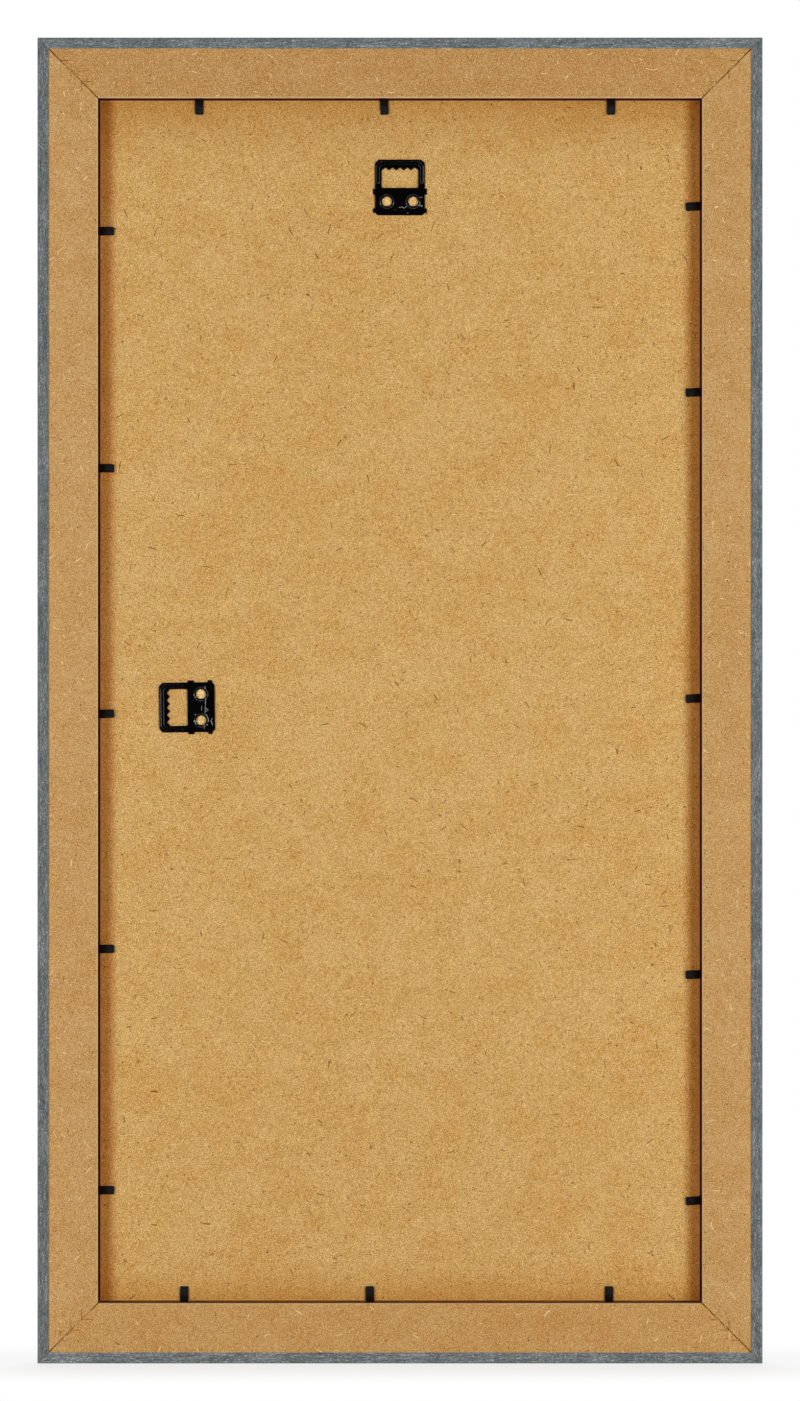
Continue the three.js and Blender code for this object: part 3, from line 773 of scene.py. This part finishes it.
def foil_finish(side):
    """Blue-grey decor foil, printed with short streaks that run along the rail."""
    paint = finish(f"decor_foil_{side}")
    along, around, _ = paint.split(paint.field("run", "Vector"))
    layers = [paint.streaks(along, around, *layer) for layer in FOIL_LAYERS]
    _, short_streak, _, patch, tint = layers
    tone = sum(layer * share for layer, share in zip(layers, FOIL_SHARES))
    colour = paint.node("ValToRGB", {"stops": FOIL_RAMP}, {"Fac": tone})
    patched = paint.mix(paint.step(patch, *FOIL_PATCHES), FOIL_LIGHT, FOIL_DEEP)
    cast = paint.mix(paint.step(tint, *FOIL_TINTS), FOIL_WARM, FOIL_COOL)
    # the last factor is painted light and shade for this rail's side
    for veil in (patched, cast, [FOIL_SIDE_LIGHT[side]] * 3):
        colour = paint.mix(1.0, colour, veil, "MULTIPLY")
    rough = 0.42 + short_streak * 0.2
    normal = paint.bump(tone, depth=0.03, strength=0.3)
    return paint.surface(Base_Color=colour, Roughness=rough, Specular_IOR_Level=0.2, Normal=normal)


def black_paint_finish():
    """Black paint on pressed steel, shiny where it was drawn, scuffed grey in places, and with painted
    highlight lines along the bead and round the holes.
    """
    paint = finish("hanger_paint")
    where = paint.place()
    breakup = paint.noise(where, size=0.35, detail=3, rough=0.7)
    mark = paint.step(paint.field("scuff") * 0.75 + breakup * 0.6, low=0.55, high=0.95)
    ripple = paint.noise(where, size=1.6)
    dust = paint.step(paint.noise(where, size=0.5, rough=0.6), low=0.62, high=0.8)
    colour = paint.mix(dust * 0.3, PAINT_BLACK, PAINT_DUSTY)
    # scuffs, and painted highlights along the bead and round the holes
    colour = paint.mix(mark * 0.8, colour, PAINT_SCUFF_AND_HIGHLIGHT)
    rough = 0.24 + ripple * 0.12 + mark * 0.35
    normal = paint.bump(ripple, depth=0.015, strength=0.4)
    shine = paint.field("polish") * 0.75
    return paint.surface(Base_Color=colour, Roughness=rough, Specular_IOR_Level=0.012, Normal=normal,
                         Coat_Weight=shine, Coat_Roughness=0.12)


def black_point_finish():
    """Thin black strip steel, satin, with a few bright nicks, and painted lighter towards its tip: painted
    light, as the rail shades its root.
    """
    paint = finish("point_steel")
    where = paint.place()
    grain = paint.noise(where, size=0.6, detail=3, rough=0.6)
    nick = paint.step(paint.noise(where, size=0.9, detail=3, rough=0.7), low=0.66, high=0.78)
    tip_light = paint.mix(paint.step(grain, low=0.35, high=0.7), STRIP_TIP_GREY, STRIP_TIP_PALE)
    # painted light: the strip turns lighter towards its tip, as the rail shades its root
    colour = paint.mix(paint.field("rubbed"), STRIP_BLACK, tip_light)
    colour = paint.mix(nick * 0.2, colour, STRIP_BRIGHT)
    rough = 0.4 + grain * 0.2
    normal = paint.bump(grain, depth=0.015, strength=0.5)
    return paint.surface(Base_Color=colour, Roughness=rough, Specular_IOR_Level=0.02, Normal=normal)


def nail_finish():
    """Plain strip steel, gone brown in the board."""
    paint = finish("nail_steel")
    stain = paint.noise(paint.place(), size=1.2, detail=3, rough=0.6)
    colour = paint.mix(paint.step(stain, low=0.4, high=0.65), NAIL_BROWN, NAIL_DARK)
    rough = 0.5 + stain * 0.3
    normal = paint.bump(stain, depth=0.02, strength=0.5)
    return paint.surface(Base_Color=colour, Roughness=rough, Specular_IOR_Level=0.1, Normal=normal)


def glass_finish():
    """Clear float glass with a trace of handling on it."""
    paint = finish("float_glass")
    trace = paint.noise(paint.place(), size=38, detail=4, rough=0.65)
    smear = paint.step(trace, low=0.5, high=0.8)
    colour = paint.mix(smear * 0.3, GLASS_CLEAR, GLASS_SMEARED)
    rough = 0.004 + smear * 0.02
    return paint.surface(Base_Color=colour, Roughness=rough, Transmission_Weight=1.0, IOR=1.5)


def paper_finish():
    """Blank off-white sheet with a soft fibre."""
    paint = finish("insert_sheet")
    where = paint.place()
    fibre = paint.noise(where, size=0.5, detail=4, rough=0.7)
    cloud = paint.noise(where, size=9, detail=3, rough=0.6)
    colour = paint.mix(paint.step(fibre, low=0.35, high=0.65), PAPER_FIBRE, PAPER_WHITE)
    colour = paint.mix(paint.step(cloud, low=0.4, high=0.7) * 0.3, colour, PAPER_CLOUD)
    normal = paint.bump(fibre, depth=0.03, strength=0.5)
    rough = 0.8 + fibre * 0.15
    return paint.surface(Base_Color=colour, Roughness=rough, Specular_IOR_Level=0.2, Normal=normal)


def put(name, data):
    """A new object in the scene."""
    thing = bpy.data.objects.new(name, data)
    bpy.context.scene.collection.objects.link(thing)
    return thing


def mesh_of(name, points, faces):
    """A new mesh, not yet in the scene."""
    made = bpy.data.meshes.new(name)
    made.from_pydata([tuple(point) for point in points], [], faces)
    return made


def face_out(made):
    """Turns the faces of a closed mesh so that they all point out."""
    shape = bmesh.new()
    shape.from_mesh(made)
    bmesh.ops.recalc_face_normals(shape, faces=shape.faces)
    shape.to_mesh(made)
    shape.free()


def piece(name, points, faces, material, body, slot, place, crease, fields=None):
    """A piece of the frame from points in millimetres, with its finish and its body. Its slot is not used.
    """
    made = mesh_of(name, points, faces)
    for key, values in (fields or {}).items():
        kind, part = ("FLOAT", "value") if np.ndim(values) == 1 else ("FLOAT_VECTOR", "vector")
        made.attributes.new(key, kind, "POINT").data.foreach_set(part, np.ravel(values))
    made.transform(Matrix.Scale(MM, 4) @ place)
    face_out(made)
    made.shade_smooth()
    made.set_sharp_from_angle(angle=math.radians(crease))
    made.materials.append(material)
    thing = put(name, made)
    if body:
        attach(thing, body)
    return thing


def loft(rings):
    """Points and faces of a closed skin over rings of as many points each."""
    count = len(rings[0])
    points = [point for ring in rings for point in ring]
    faces = [tuple(range(count)), tuple(range(len(points) - count, len(points)))]
    for row in range(len(rings) - 1):
        for i in range(count):
            j = (i + 1) % count
            start = row * count
            faces.append((start + i, start + j, start + count + j, start + count + i))
    return points, faces


def carve(solid, tool, how):
    """Points and faces of a solid after a second one is cut from it, kept of it or added."""
    things = []
    for label, (points, faces) in (("solid", solid), ("tool", tool)):
        made = mesh_of(label, points, faces)
        face_out(made)
        things.append(put(label, made))
    block, knife = things
    cut = block.modifiers.new("cut", "BOOLEAN")
    cut.object = knife
    cut.operation = how
    cut.solver = "EXACT"
    bpy.context.view_layer.update()
    seen = block.evaluated_get(bpy.context.evaluated_depsgraph_get())
    done = bpy.data.meshes.new_from_object(seen)
    for thing in things:
        bpy.data.objects.remove(thing)
    new_points = [vertex.co.copy() for vertex in done.vertices]
    new_faces = [tuple(face.vertices) for face in done.polygons]
    bpy.data.meshes.remove(done)
    return new_points, new_faces


def together(solids):
    """Several solids as one list of points and faces."""
    points, faces = [], []
    for some_points, some_faces in solids:
        start = len(points)
        points.extend(some_points)
        faces.extend(tuple(start + i for i in face) for face in some_faces)
    return points, faces


def arc(u, y, radius, start, end):
    """Points round a corner of a rail's section."""
    angles = [start + (end - start) * i / ARC_STEPS for i in range(ARC_STEPS + 1)]
    return [(u + radius * math.cos(a), y + radius * math.sin(a)) for a in angles]


def gap_at(u, starts):
    """Half the width of the mitre's gap: open at its ends, and drawn together by the nails."""
    wave = sum(height * math.sin(u * turn + start) for (height, turn), start in zip(MITRE_WAVES, starts))
    held = math.exp(-((u - MITRE_HELD) / MITRE_HOLD) ** 2)
    share = min(1, max(0, MITRE_APART - MITRE_DRAWN * held + MITRE_WAVER * wave))
    return MITRE_SHUT + (MITRE_OPEN - MITRE_SHUT) * share


def rail_section():
    """The section of a rail's core, first the part where the mitre's gap shows, then the rest."""
    mouth = [(u, SKIN) for u in np.arange(SKIN + BACK_RADIUS, RAIL_WIDTH - ARRIS_WIDTH, MITRE_STEP)]
    mouth += [(RAIL_WIDTH - ARRIS_WIDTH, SKIN), (RAIL_WIDTH - ARRIS_WIDTH / 2, SKIN + ARRIS_DROP / 3)]
    mouth.append((RAIL_WIDTH, SKIN + ARRIS_DROP))
    rest = [(RAIL_WIDTH, MITRE_THROAT), (RAIL_WIDTH, SEAT_Y), (SIGHT, SEAT_Y)]
    for u, y, radius, start, end in reversed(WRAP):
        rest += arc(u, y, radius, end, start)
    rest.pop()
    return mouth, rest


def rail_core(length, dice):
    """A fibreboard rail: its section run between two mitres, whose gap closes at the throat."""
    mouth, rest = rail_section()
    section = mouth + rest
    count = len(section)
    points, faces = [], []
    for end in (-1, 1):
        starts = [dice.uniform(0, math.tau) for _ in MITRE_WAVES]
        for i, (u, y) in enumerate(section):
            gap = gap_at(u, starts) if 0 < i < len(mouth) else MITRE_SHUT
            points.append((end * (length / 2 - u - gap), y, -u))
    for end, first in ((-1, 0), (1, count)):
        throat = list(range(len(points), len(points) + len(mouth) - 1))
        points += [(end * (length / 2 - u - MITRE_SHUT), MITRE_THROAT, -u) for u, _ in mouth[1:]]
        inner = [first] + throat
        for i in range(len(mouth) - 1):
            edge = [first + i, first + i + 1, inner[i + 1], inner[i]]
            faces.append(tuple(dict.fromkeys(edge)))
        last = first + len(mouth)
        faces.append((last - 1, last, throat[-1]))
        faces.append(tuple(inner + list(range(last, first + count))))
    for i in range(count):
        j = (i + 1) % count
        faces.append((i, j, count + j, count + i))
    return points, faces


def slit(x0, x1, from_side, mouth, dice):
    """The cut that one leg of a corner nail leaves in a rail: a ragged hairline at its mouth."""
    rings = []
    for step in range(SLIT_STEPS + 1):
        x = x0 + (x1 - x0) * step / SLIT_STEPS
        off = dice.uniform(-SLIT_WAVER, SLIT_WAVER)
        half = mouth * dice.uniform(*SLIT_RAGGED)
        left = [(off - half, 0.0), (off - half, SKIN), (-NAIL_HALF, NAIL_TOP), (-NAIL_HALF, NAIL_FLOOR)]
        right = [(NAIL_HALF, NAIL_FLOOR), (NAIL_HALF, NAIL_TOP), (off + half, SKIN), (off + half, 0.0)]
        rings.append([(x, y, -from_side + z) for z, y in left + right])
    return loft(rings)


def box_solid(low, high, place):
    """A box between two corners, put in place."""
    (x0, y0, z0), (x1, y1, z1) = low, high
    corners = ((x0, z0), (x1, z0), (x1, z1), (x0, z1))
    return loft([[place @ Vector((x, y, z)) for x, z in corners] for y in (y0, y1)])


def rail_cuts(side, place, length, dice):
    """Everything that is cut into one rail: slots for its points and slits for the nails."""
    cuts = []
    low = (-POINT_HALF - SLOT_PLAY, -POINT_THICK / 2 - SLOT_PLAY, POINT_END - SLOT_PLAY)
    high = (POINT_HALF + SLOT_PLAY, POINT_THICK / 2 + SLOT_PLAY, POINT_WALL + SLOT_PAST)
    for joint in frame["joints"]:
        if joint["name"].split("_")[1] == side:
            cuts.append(box_solid(low, high, place.inverted() @ point_place(joint)))
    for i in range(NAIL_COUNT):
        from_side = NAIL_OUTER + i * NAIL_PITCH
        for end in (-1, 1):
            mouth = dice.choice(NAIL_MOUTHS)
            near = length / 2 - from_side - NAIL_LEG - SLOT_PLAY
            far = length / 2 - from_side + NAIL_HALF
            x0, x1 = sorted((end * near, end * far))
            cuts.append(slit(x0, x1, from_side, mouth, dice))
    return together(cuts)


def foil_wrap(length, dice):
    """The foil round a rail, from its cut edge on the back to the glass seat, and its run on the roll."""
    under = SKIN - GLUE_LINE
    outer = [(FOIL_LAP, 0.0), (FOIL_LAP - FOIL_EDGE, 0.0)]
    inner = [(FOIL_LAP, under), (FOIL_LAP - FOIL_EDGE, under)]
    for u, y, radius, start, end in WRAP:
        outer += arc(u, y, radius + SKIN, start, end)
        inner += arc(u, y, radius + GLUE_LINE, start, end)
    outer.append((SIGHT + SKIN, SEAT_Y))
    inner.append((SIGHT + GLUE_LINE, SEAT_Y))
    girth = np.concatenate(([0], np.cumsum(np.hypot(*np.diff(np.array(outer), axis=0).T))))
    count = len(outer)
    rows = int(length // FOIL_STEP)
    points, run, faces = [], [], []
    offset = dice.uniform(0, FOIL_ROLL)
    for row in range(rows + 1):
        share = 2 * row / rows - 1
        waver = dice.uniform(-FOIL_WAVER, FOIL_WAVER)
        for skin in (outer, inner):
            for i, (u, y) in enumerate(skin):
                cut = u + waver if i == 0 else u
                points.append((share * (length / 2 - cut - FOIL_GAP), y, -cut))
                run.append((points[-1][0] + offset, girth[i], 0))
    wide = 2 * count
    for row in range(rows):
        a, b = row * wide, (row + 1) * wide
        for i in range(count - 1):
            faces.append((a + i, a + i + 1, b + i + 1, b + i))
            faces.append((a + count + i, b + count + i, b + count + i + 1, a + count + i + 1))
        for i in (0, count - 1):
            faces.append((a + i, b + i, b + count + i, a + count + i))
    for start in (0, rows * wide):
        for i in range(count - 1):
            faces.append((start + i, start + i + 1, start + count + i + 1, start + count + i))
    return points, faces, run


def point_strip():
    """A flexible point: a spear driven into the rail, and a blade that lies over the board."""
    shoulder = POINT_END + POINT_SPEAR
    round_start = POINT_TIP - POINT_TIP_RADIUS
    turns = [QUARTER * i / POINT_TIP_STEPS for i in range(POINT_TIP_STEPS + 1)]
    places = [POINT_END, shoulder, *POINT_SHANK_RINGS]
    places += [POINT_WALL + POINT_BEND_STEP * i for i in range(POINT_BEND_RINGS)]
    places += [*POINT_BLADE_RINGS, round_start - POINT_TIP_LEAD]
    places += [POINT_TIP - POINT_TIP_RADIUS * (1 - math.sin(turn)) for turn in turns]
    half = POINT_THICK / 2
    rings = []
    for s in places:
        width = POINT_HALF
        if s < shoulder:
            width = POINT_HALF * max(POINT_SPEAR_TIP, (s - POINT_END) / POINT_SPEAR)
        over = s - round_start
        if over > 0:
            width -= POINT_TIP_RADIUS - math.sqrt(max(0, POINT_TIP_RADIUS ** 2 - over ** 2))
        edge = min(POINT_EDGE, width * POINT_EDGE_SHARE)
        flat = width - edge
        thin = half - edge
        ring = [(-flat, -half), (flat, -half), (width, -thin), (width, thin)]
        ring += [(flat, half), (-flat, half), (-width, thin), (-width, -thin)]
        rings.append([(x, y, s) for x, y in ring])
    # painted light along the strip, lighter towards the tip
    dull, grey = POINT_TIP_LIT
    rubbed = [min(1, max(0, (s - dull) / (grey - dull))) for s in places for _ in rings[0]]
    return *loft(rings), {"rubbed": rubbed}


def eased_outline(corners, radius, steps=3):
    """A closed outline with its corners rounded a little."""
    points = []
    for i, corner in enumerate(corners):
        here = Vector(corner)
        before = Vector(corners[i - 1]) - here
        after = Vector(corners[(i + 1) % len(corners)]) - here
        reach = min(radius, before.length * CORNER_SHARE, after.length * CORNER_SHARE)
        start = here + before.normalized() * reach
        end = here + after.normalized() * reach
        for k in range(steps + 1):
            t = k / steps
            points.append(start * (1 - t) ** 2 + here * (2 * t * (1 - t)) + end * t ** 2)
    return [tuple(point) for point in points]


def hanger_outlines():
    """The hanger's plan: its outer edge, the toothed window and the two holes."""
    x, top, low = HANGER_HALF, TOP_CHAMFER, BASE_CHAMFER
    edge = [(-x + low, HANGER_BOTTOM), (x - low, HANGER_BOTTOM), (x, HANGER_BOTTOM + low)]
    edge += [(x, HANGER_BAR - top), (x - top, HANGER_BAR), (-x + top, HANGER_BAR)]
    edge += [(-x, HANGER_BAR - top), (-x, HANGER_BOTTOM + low)]
    side, foot, cut = WINDOW_HALF, -WINDOW_DROP, WINDOW_CHAMFER
    window = [(-side, foot + cut), (-side + cut, foot), (side - cut, foot), (side, foot + cut)]
    for i in range(NOTCH_COUNT):
        right = side - i * NOTCH_PITCH
        window += [(right, -NOTCH_DEPTH), (right - NOTCH_PITCH / 2, 0.0)]
    window.append((-side, -NOTCH_DEPTH))
    turns = [math.tau * i / HOLE_STEPS for i in range(HOLE_STEPS)]
    ring = [(HOLE_RADIUS * math.cos(turn), HOLE_Z + HOLE_RADIUS * math.sin(turn)) for turn in turns]
    holes = [[(middle + x, z) for x, z in ring] for middle in (-HOLE_SPACING / 2, HOLE_SPACING / 2)]
    return eased_outline(edge, HANGER_ROUND), eased_outline(window, WINDOW_ROUND), holes


def distance_to(lines, x, z):
    """How far each grid point is from the nearest of some line segments."""
    nearest = np.full(x.shape, np.inf)
    for (x0, z0), (x1, z1) in lines:
        dx, dz = x1 - x0, z1 - z0
        t = np.clip(((x - x0) * dx + (z - z0) * dz) / (dx * dx + dz * dz), 0, 1)
        nearest = np.minimum(nearest, np.hypot(x - x0 - t * dx, z - z0 - t * dz))
    return nearest


def closed(outline):
    """The line segments of a closed outline."""
    return list(zip(outline, outline[1:] + outline[:1]))


def from_bead(x, z):
    """How far each point is from the middle of the bead."""
    side = HANGER_HALF - BEAD_INSET
    top = HANGER_BAR - BEAD_INSET
    foot = -WINDOW_DROP + BEAD_END
    right = [(side, foot), (side, top - TOP_CHAMFER), (side - TOP_CHAMFER, top)]
    path = right + [(-px, pz) for px, pz in reversed(right)]
    return distance_to(list(zip(path, path[1:])), x, z)


def from_hole(x, z):
    """How far each point is from the middle of the nearer hole."""
    return np.hypot(np.abs(x) - HOLE_SPACING / 2, z - HOLE_Z)


def pressed_height(x, z):
    """How far the bead and the rims round the holes stand above the plate's flat face."""
    bead = np.clip((BEAD_HALF - from_bead(x, z)) / BEAD_SLOPE, 0, 1)
    rim = np.clip((RIM_RADIUS - from_hole(x, z)) / (RIM_RADIUS - RIM_CREST), 0, 1)
    return np.maximum(BEAD_HEIGHT * bead ** 2 * (3 - 2 * bead), RIM_HEIGHT * rim ** 2 * (3 - 2 * rim))


def hanger_relief(x, z):
    """The plate's outer face above its flat: bead, rims and rolled edges."""
    edge, window, holes = hanger_outlines()
    lines = [line for outline in (edge, window, *holes) for line in closed(outline)]
    near = np.clip(1 - distance_to(lines, x, z) / EDGE_ROUND, 0, 1)
    return pressed_height(x, z) - EDGE_DROP * near ** 2


def hanger_slab():
    """A slab whose outer face has the hanger's relief, wider than the hanger all round."""
    xs = np.arange(-HANGER_HALF - HANGER_SPARE, HANGER_HALF + HANGER_SPARE, HANGER_CELL)
    zs = np.arange(HANGER_BOTTOM - HANGER_SPARE, HANGER_BAR + HANGER_SPARE, HANGER_CELL)
    x, z = np.meshgrid(xs, zs)
    y = -HANGER_SHEET - hanger_relief(x, z)
    wide, tall = len(xs), len(zs)
    points = list(zip(x.ravel(), y.ravel(), z.ravel()))
    faces = []
    for row in range(tall - 1):
        for i in range(wide - 1):
            a = row * wide + i
            faces.append((a, a + 1, a + wide + 1, a + wide))
    rim = list(range(wide)) + [row * wide + wide - 1 for row in range(1, tall)]
    rim += [tall * wide - 1 - i for i in range(1, wide)]
    rim += [row * wide for row in range(tall - 2, 0, -1)]
    base = len(points)
    points += [(points[i][0], 0.0, points[i][2]) for i in rim]
    count = len(rim)
    for i in range(count):
        j = (i + 1) % count
        faces.append((rim[i], rim[j], base + j, base + i))
    faces.append(tuple(range(base, base + count)))
    return points, faces


def hanger_prism():
    """The hanger's plan with its window and holes, thicker than the pressed plate."""
    edge, window, holes = hanger_outlines()
    shape = bmesh.new()
    for outline in (edge, window, *holes):
        ring = [shape.verts.new((x, HANGER_SPARE, z)) for x, z in outline]
        for a, b in closed(ring):
            shape.edges.new((a, b))
    bmesh.ops.triangle_fill(shape, edges=shape.edges, use_beauty=True)
    grown = bmesh.ops.extrude_face_region(shape, geom=shape.faces[:])
    far = [item for item in grown["geom"] if isinstance(item, bmesh.types.BMVert)]
    bmesh.ops.translate(shape, verts=far, vec=(0, -HANGER_THROUGH, 0))
    shape.verts.index_update()
    points = [vertex.co.copy() for vertex in shape.verts]
    faces = [tuple(vertex.index for vertex in face.verts) for face in shape.faces]
    shape.free()
    return points, faces


def hanger_prong(side, low, high):
    """A prong folded from the plate's edge down into the board."""
    inner = HANGER_HALF - HANGER_SHEET
    outer = HANGER_HALF + PRONG_REACH
    bend = outer - HANGER_SHEET
    slant, tip = PRONG_TAPER
    turns = [QUARTER * i / PRONG_BEND_STEPS for i in range(PRONG_BEND_STEPS, -1, -1)]
    ring = [(inner, -PRONG_SINK), (bend - PRONG_BEND, -PRONG_SINK), (bend, PRONG_BEND)]
    ring += [(bend, PRONG_DEPTH - tip), (outer - slant, PRONG_DEPTH), (outer, PRONG_DEPTH - tip)]
    ring += [(bend + HANGER_SHEET * math.sin(turn), -HANGER_SHEET * math.cos(turn)) for turn in turns]
    ring.append((inner, -HANGER_SHEET + PRONG_SINK))
    middle = (inner + outer) / 2
    pinched = [(u + (middle - u) * PRONG_PINCH, y + (PRONG_PINCH_Y - y) * PRONG_PINCH) for u, y in ring]
    ends = ((low, pinched), (low + PRONG_EASE, ring), (high - PRONG_EASE, ring), (high, pinched))
    return loft([[(side * u, y, z) for u, y in section] for z, section in ends])


def hanger_mesh():
    """The pressed plate with its four prongs."""
    plate = carve(hanger_slab(), hanger_prism(), "INTERSECT")
    prongs = [hanger_prong(side, low, high) for side in (-1, 1) for low, high in PRONG_SPANS]
    return carve(plate, together(prongs), "UNION")


def on_outer_face(marks, y):
    """Marks on the plate's outer face alone."""
    return np.where(y > -HANGER_SHEET / 2, 0, marks)


def scuff_and_highlight_marks(points, strokes, bar_highlight, leg_highlight):
    """How scuffed the paint is at each point, with painted highlight lines along the bead and round the
    holes.
    """
    x, y, z = np.array([tuple(point) for point in points]).T
    beads = np.abs(from_bead(x, z) - BEAD_LINE)
    rims = np.abs(from_hole(x, z) - RIM_LINE)
    on_bar = z > HANGER_BAR - BEAD_INSET - TOP_CHAMFER
    on_leg = np.abs(x) > HANGER_HALF - BEAD_INSET - TOP_CHAMFER
    bead_highlight = np.maximum(bar_highlight * on_bar, leg_highlight * on_leg)
    # painted highlight lines along the bead and round the holes, then the real scuffs
    rubbed = np.maximum(bead_highlight * (beads < LINE_HALF), RIM_HIGHLIGHT * (rims < LINE_HALF))
    for x0, z0, x1, z1, half in strokes:
        far = distance_to([((x0, z0), (x1, z1))], x, z)
        rubbed = np.maximum(rubbed, np.clip(SCUFF_FADE - far / half, 0, 1))
    return on_outer_face(rubbed, y)


def polish_marks(points):
    """How polished the paint is: most on the steep sides of the rims, less on the bead's."""
    x, y, z = np.array([tuple(point) for point in points]).T
    aside = pressed_height(x + HANGER_CELL, z) - pressed_height(x - HANGER_CELL, z)
    upward = pressed_height(x, z + HANGER_CELL) - pressed_height(x, z - HANGER_CELL)
    slope = np.hypot(aside, upward) / (2 * HANGER_CELL)
    dull, bright = POLISH_SLOPE
    polished = np.clip((slope - dull) / (bright - dull), 0, 1)
    return on_outer_face(polished * np.where(z > -WINDOW_DROP, BEAD_POLISH, RIM_POLISH), y)


def seen_rays(paint):
    """1 for rays that show the background: from the camera, a mirror or through glass."""
    kinds = ("Is Camera Ray", "Is Glossy Ray", "Is Transmission Ray")
    return reduce(paint.most, [paint.node("LightPath", out=kind) for kind in kinds])


def floor_finish():
    """Pale floor that keeps the shadow by the frame and runs out into white."""
    paint = finish("studio_floor")
    where = paint.place()
    x, y, _ = paint.split(where)
    beside = paint.most(abs(x) - OUTER_WIDTH / 2, 0.0)
    before = paint.most(abs(y - RAIL_DEPTH / 2) - RAIL_DEPTH / 2, 0.0)
    near = paint.step(paint.maths("SQRT", beside * beside + before * before), *FLOOR_LIMITS)
    colour = paint.mix(paint.noise(where, FLOOR_CLOUDS), FLOOR_GREY, FLOOR_PALE)
    plain = paint.node("BsdfPrincipled", None, {"Base Color": colour, "Roughness": 0.9})
    white = paint.node("Emission", None, {"Color": WHITE, "Strength": 1.0})
    share = seen_rays(paint) * (1 - near * FLOOR_KEEP)
    mixed = paint.node("MixShader", None, {0: share, 1: plain, 2: white})
    paint.node("OutputMaterial", None, {"Surface": mixed})
    return paint.holder


def floor_sheet():
    """The floor that the frame stands on."""
    made = bpy.data.meshes.new("floor")
    shape = bmesh.new()
    bmesh.ops.create_grid(shape, x_segments=FLOOR_PARTS, y_segments=FLOOR_PARTS, size=FLOOR_REACH)
    shape.to_mesh(made)
    shape.free()
    made.transform(Matrix.Translation((0, 0, BOX_LOW.z * MM)))
    made.materials.append(floor_finish())
    floor = put("floor", made)


def softbox(name, place, size, power):
    """A soft lamp aimed at the frame's middle."""
    lamp = bpy.data.lights.new(name, "AREA")
    lamp.shape = "RECTANGLE"
    lamp.size, lamp.size_y = size
    lamp.energy = power
    thing = put(name, lamp)
    thing.location = place
    aim = Vector((0, 0, MIDDLE_Z * MM)) - Vector(place)
    thing.rotation_euler = aim.to_track_quat("-Z", "Y").to_euler()
    thing.visible_camera = False


# Rails and foil
dice = random.Random(SEED)
for side, turn, length, across in SIDES:
    place = rail_place(turn, across)
    fibre = fibreboard(f"rail_fibre_{side}", RAIL_SHADES_AND_LIGHT[side], RAIL_MARKS, rail_edge)
    core = carve(rail_core(length, dice), rail_cuts(side, place, length, dice), "DIFFERENCE")
    core = piece(f"rail_{side}", *core, fibre, "frame", "fibreboard", place, RAIL_CREASE)
    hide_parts(f"rail_core_{side}")
    *sheet, run = foil_wrap(length, dice)
    foil = foil_finish(side)
    wrap = piece(f"foil_{side}", *sheet, foil, "frame", "foil", place, FOIL_CREASE, {"run": run})
    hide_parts(f"rail_foil_{side}")

# Board, insert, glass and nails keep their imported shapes
packed_finishes = {
    "backing_board": fibreboard("board_fibre", BOARD_SHADE, BOARD_MARKS, board_edge),
    "picture_insert": paper_finish(),
    "glass": glass_finish(),
    "corner_nail": nail_finish(),
}
for node, thing in frame["nodes"].items():
    for start, material in packed_finishes.items():
        if node.startswith(start):
            thing.data.materials.clear()
            thing.data.materials.append(material)

# Flexible points: one straight strip each, from its slot in the rail out over the board
steel = black_point_finish()
*shape, rubbed = point_strip()
for joint in frame["joints"]:
    label = joint["name"].removeprefix("bend_")
    place = point_place(joint)
    strip = piece(f"point_{label}", *shape, steel, None, "black_points", place, POINT_CREASE, rubbed)
    start = place @ Vector((0, 0, POINT_WALL)) * MM
    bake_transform(strip)
    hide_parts(f"point_shank_{label}", f"point_tab_{label}")

# Hangers
black = black_paint_finish()
points, faces = hanger_mesh()
for node, wear in HANGERS.items():
    marks = {"scuff": scuff_and_highlight_marks(points, *wear), "polish": polish_marks(points)}
    plate = piece(f"pressed_{node}", points, faces, black, "frame", "black_paint", hanger_place(node),
                  HANGER_CREASE, marks)
    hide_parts(node)

# Studio: a pale floor, soft lights low at both sides of the back, one high in front, and a camera
floor_sheet()
softbox("softbox_left", (-SOFTBOX_X, -SOFTBOX_Y, SOFTBOX_Z), SOFTBOX_SIZE, LEFT_POWER)
softbox("softbox_right", (SOFTBOX_X, -SOFTBOX_Y, SOFTBOX_Z), SOFTBOX_SIZE, RIGHT_POWER)
softbox("softbox_front", FRONT_PLACE, FRONT_SIZE, FRONT_POWER)

world = bpy.data.worlds.new("studio")
bpy.context.scene.world = world
sky = Paint(world)
level = seen_rays(sky) * (1 - AMBIENT) + AMBIENT
glow = sky.node("Background", None, {"Color": WHITE, "Strength": level})
sky.node("OutputWorld", None, {"Surface": glow})

camera = bpy.data.cameras.new("camera")
camera.lens = CAMERA_LENS
camera.clip_end = CAMERA_CLIP
viewer = put("camera", camera)
viewer.location = (0, -CAMERA_FAR, MIDDLE_Z * MM)
viewer.rotation_euler = (QUARTER, 0, 0)
bpy.context.scene.camera = viewer
bpy.context.scene.view_settings.view_transform = "Standard"
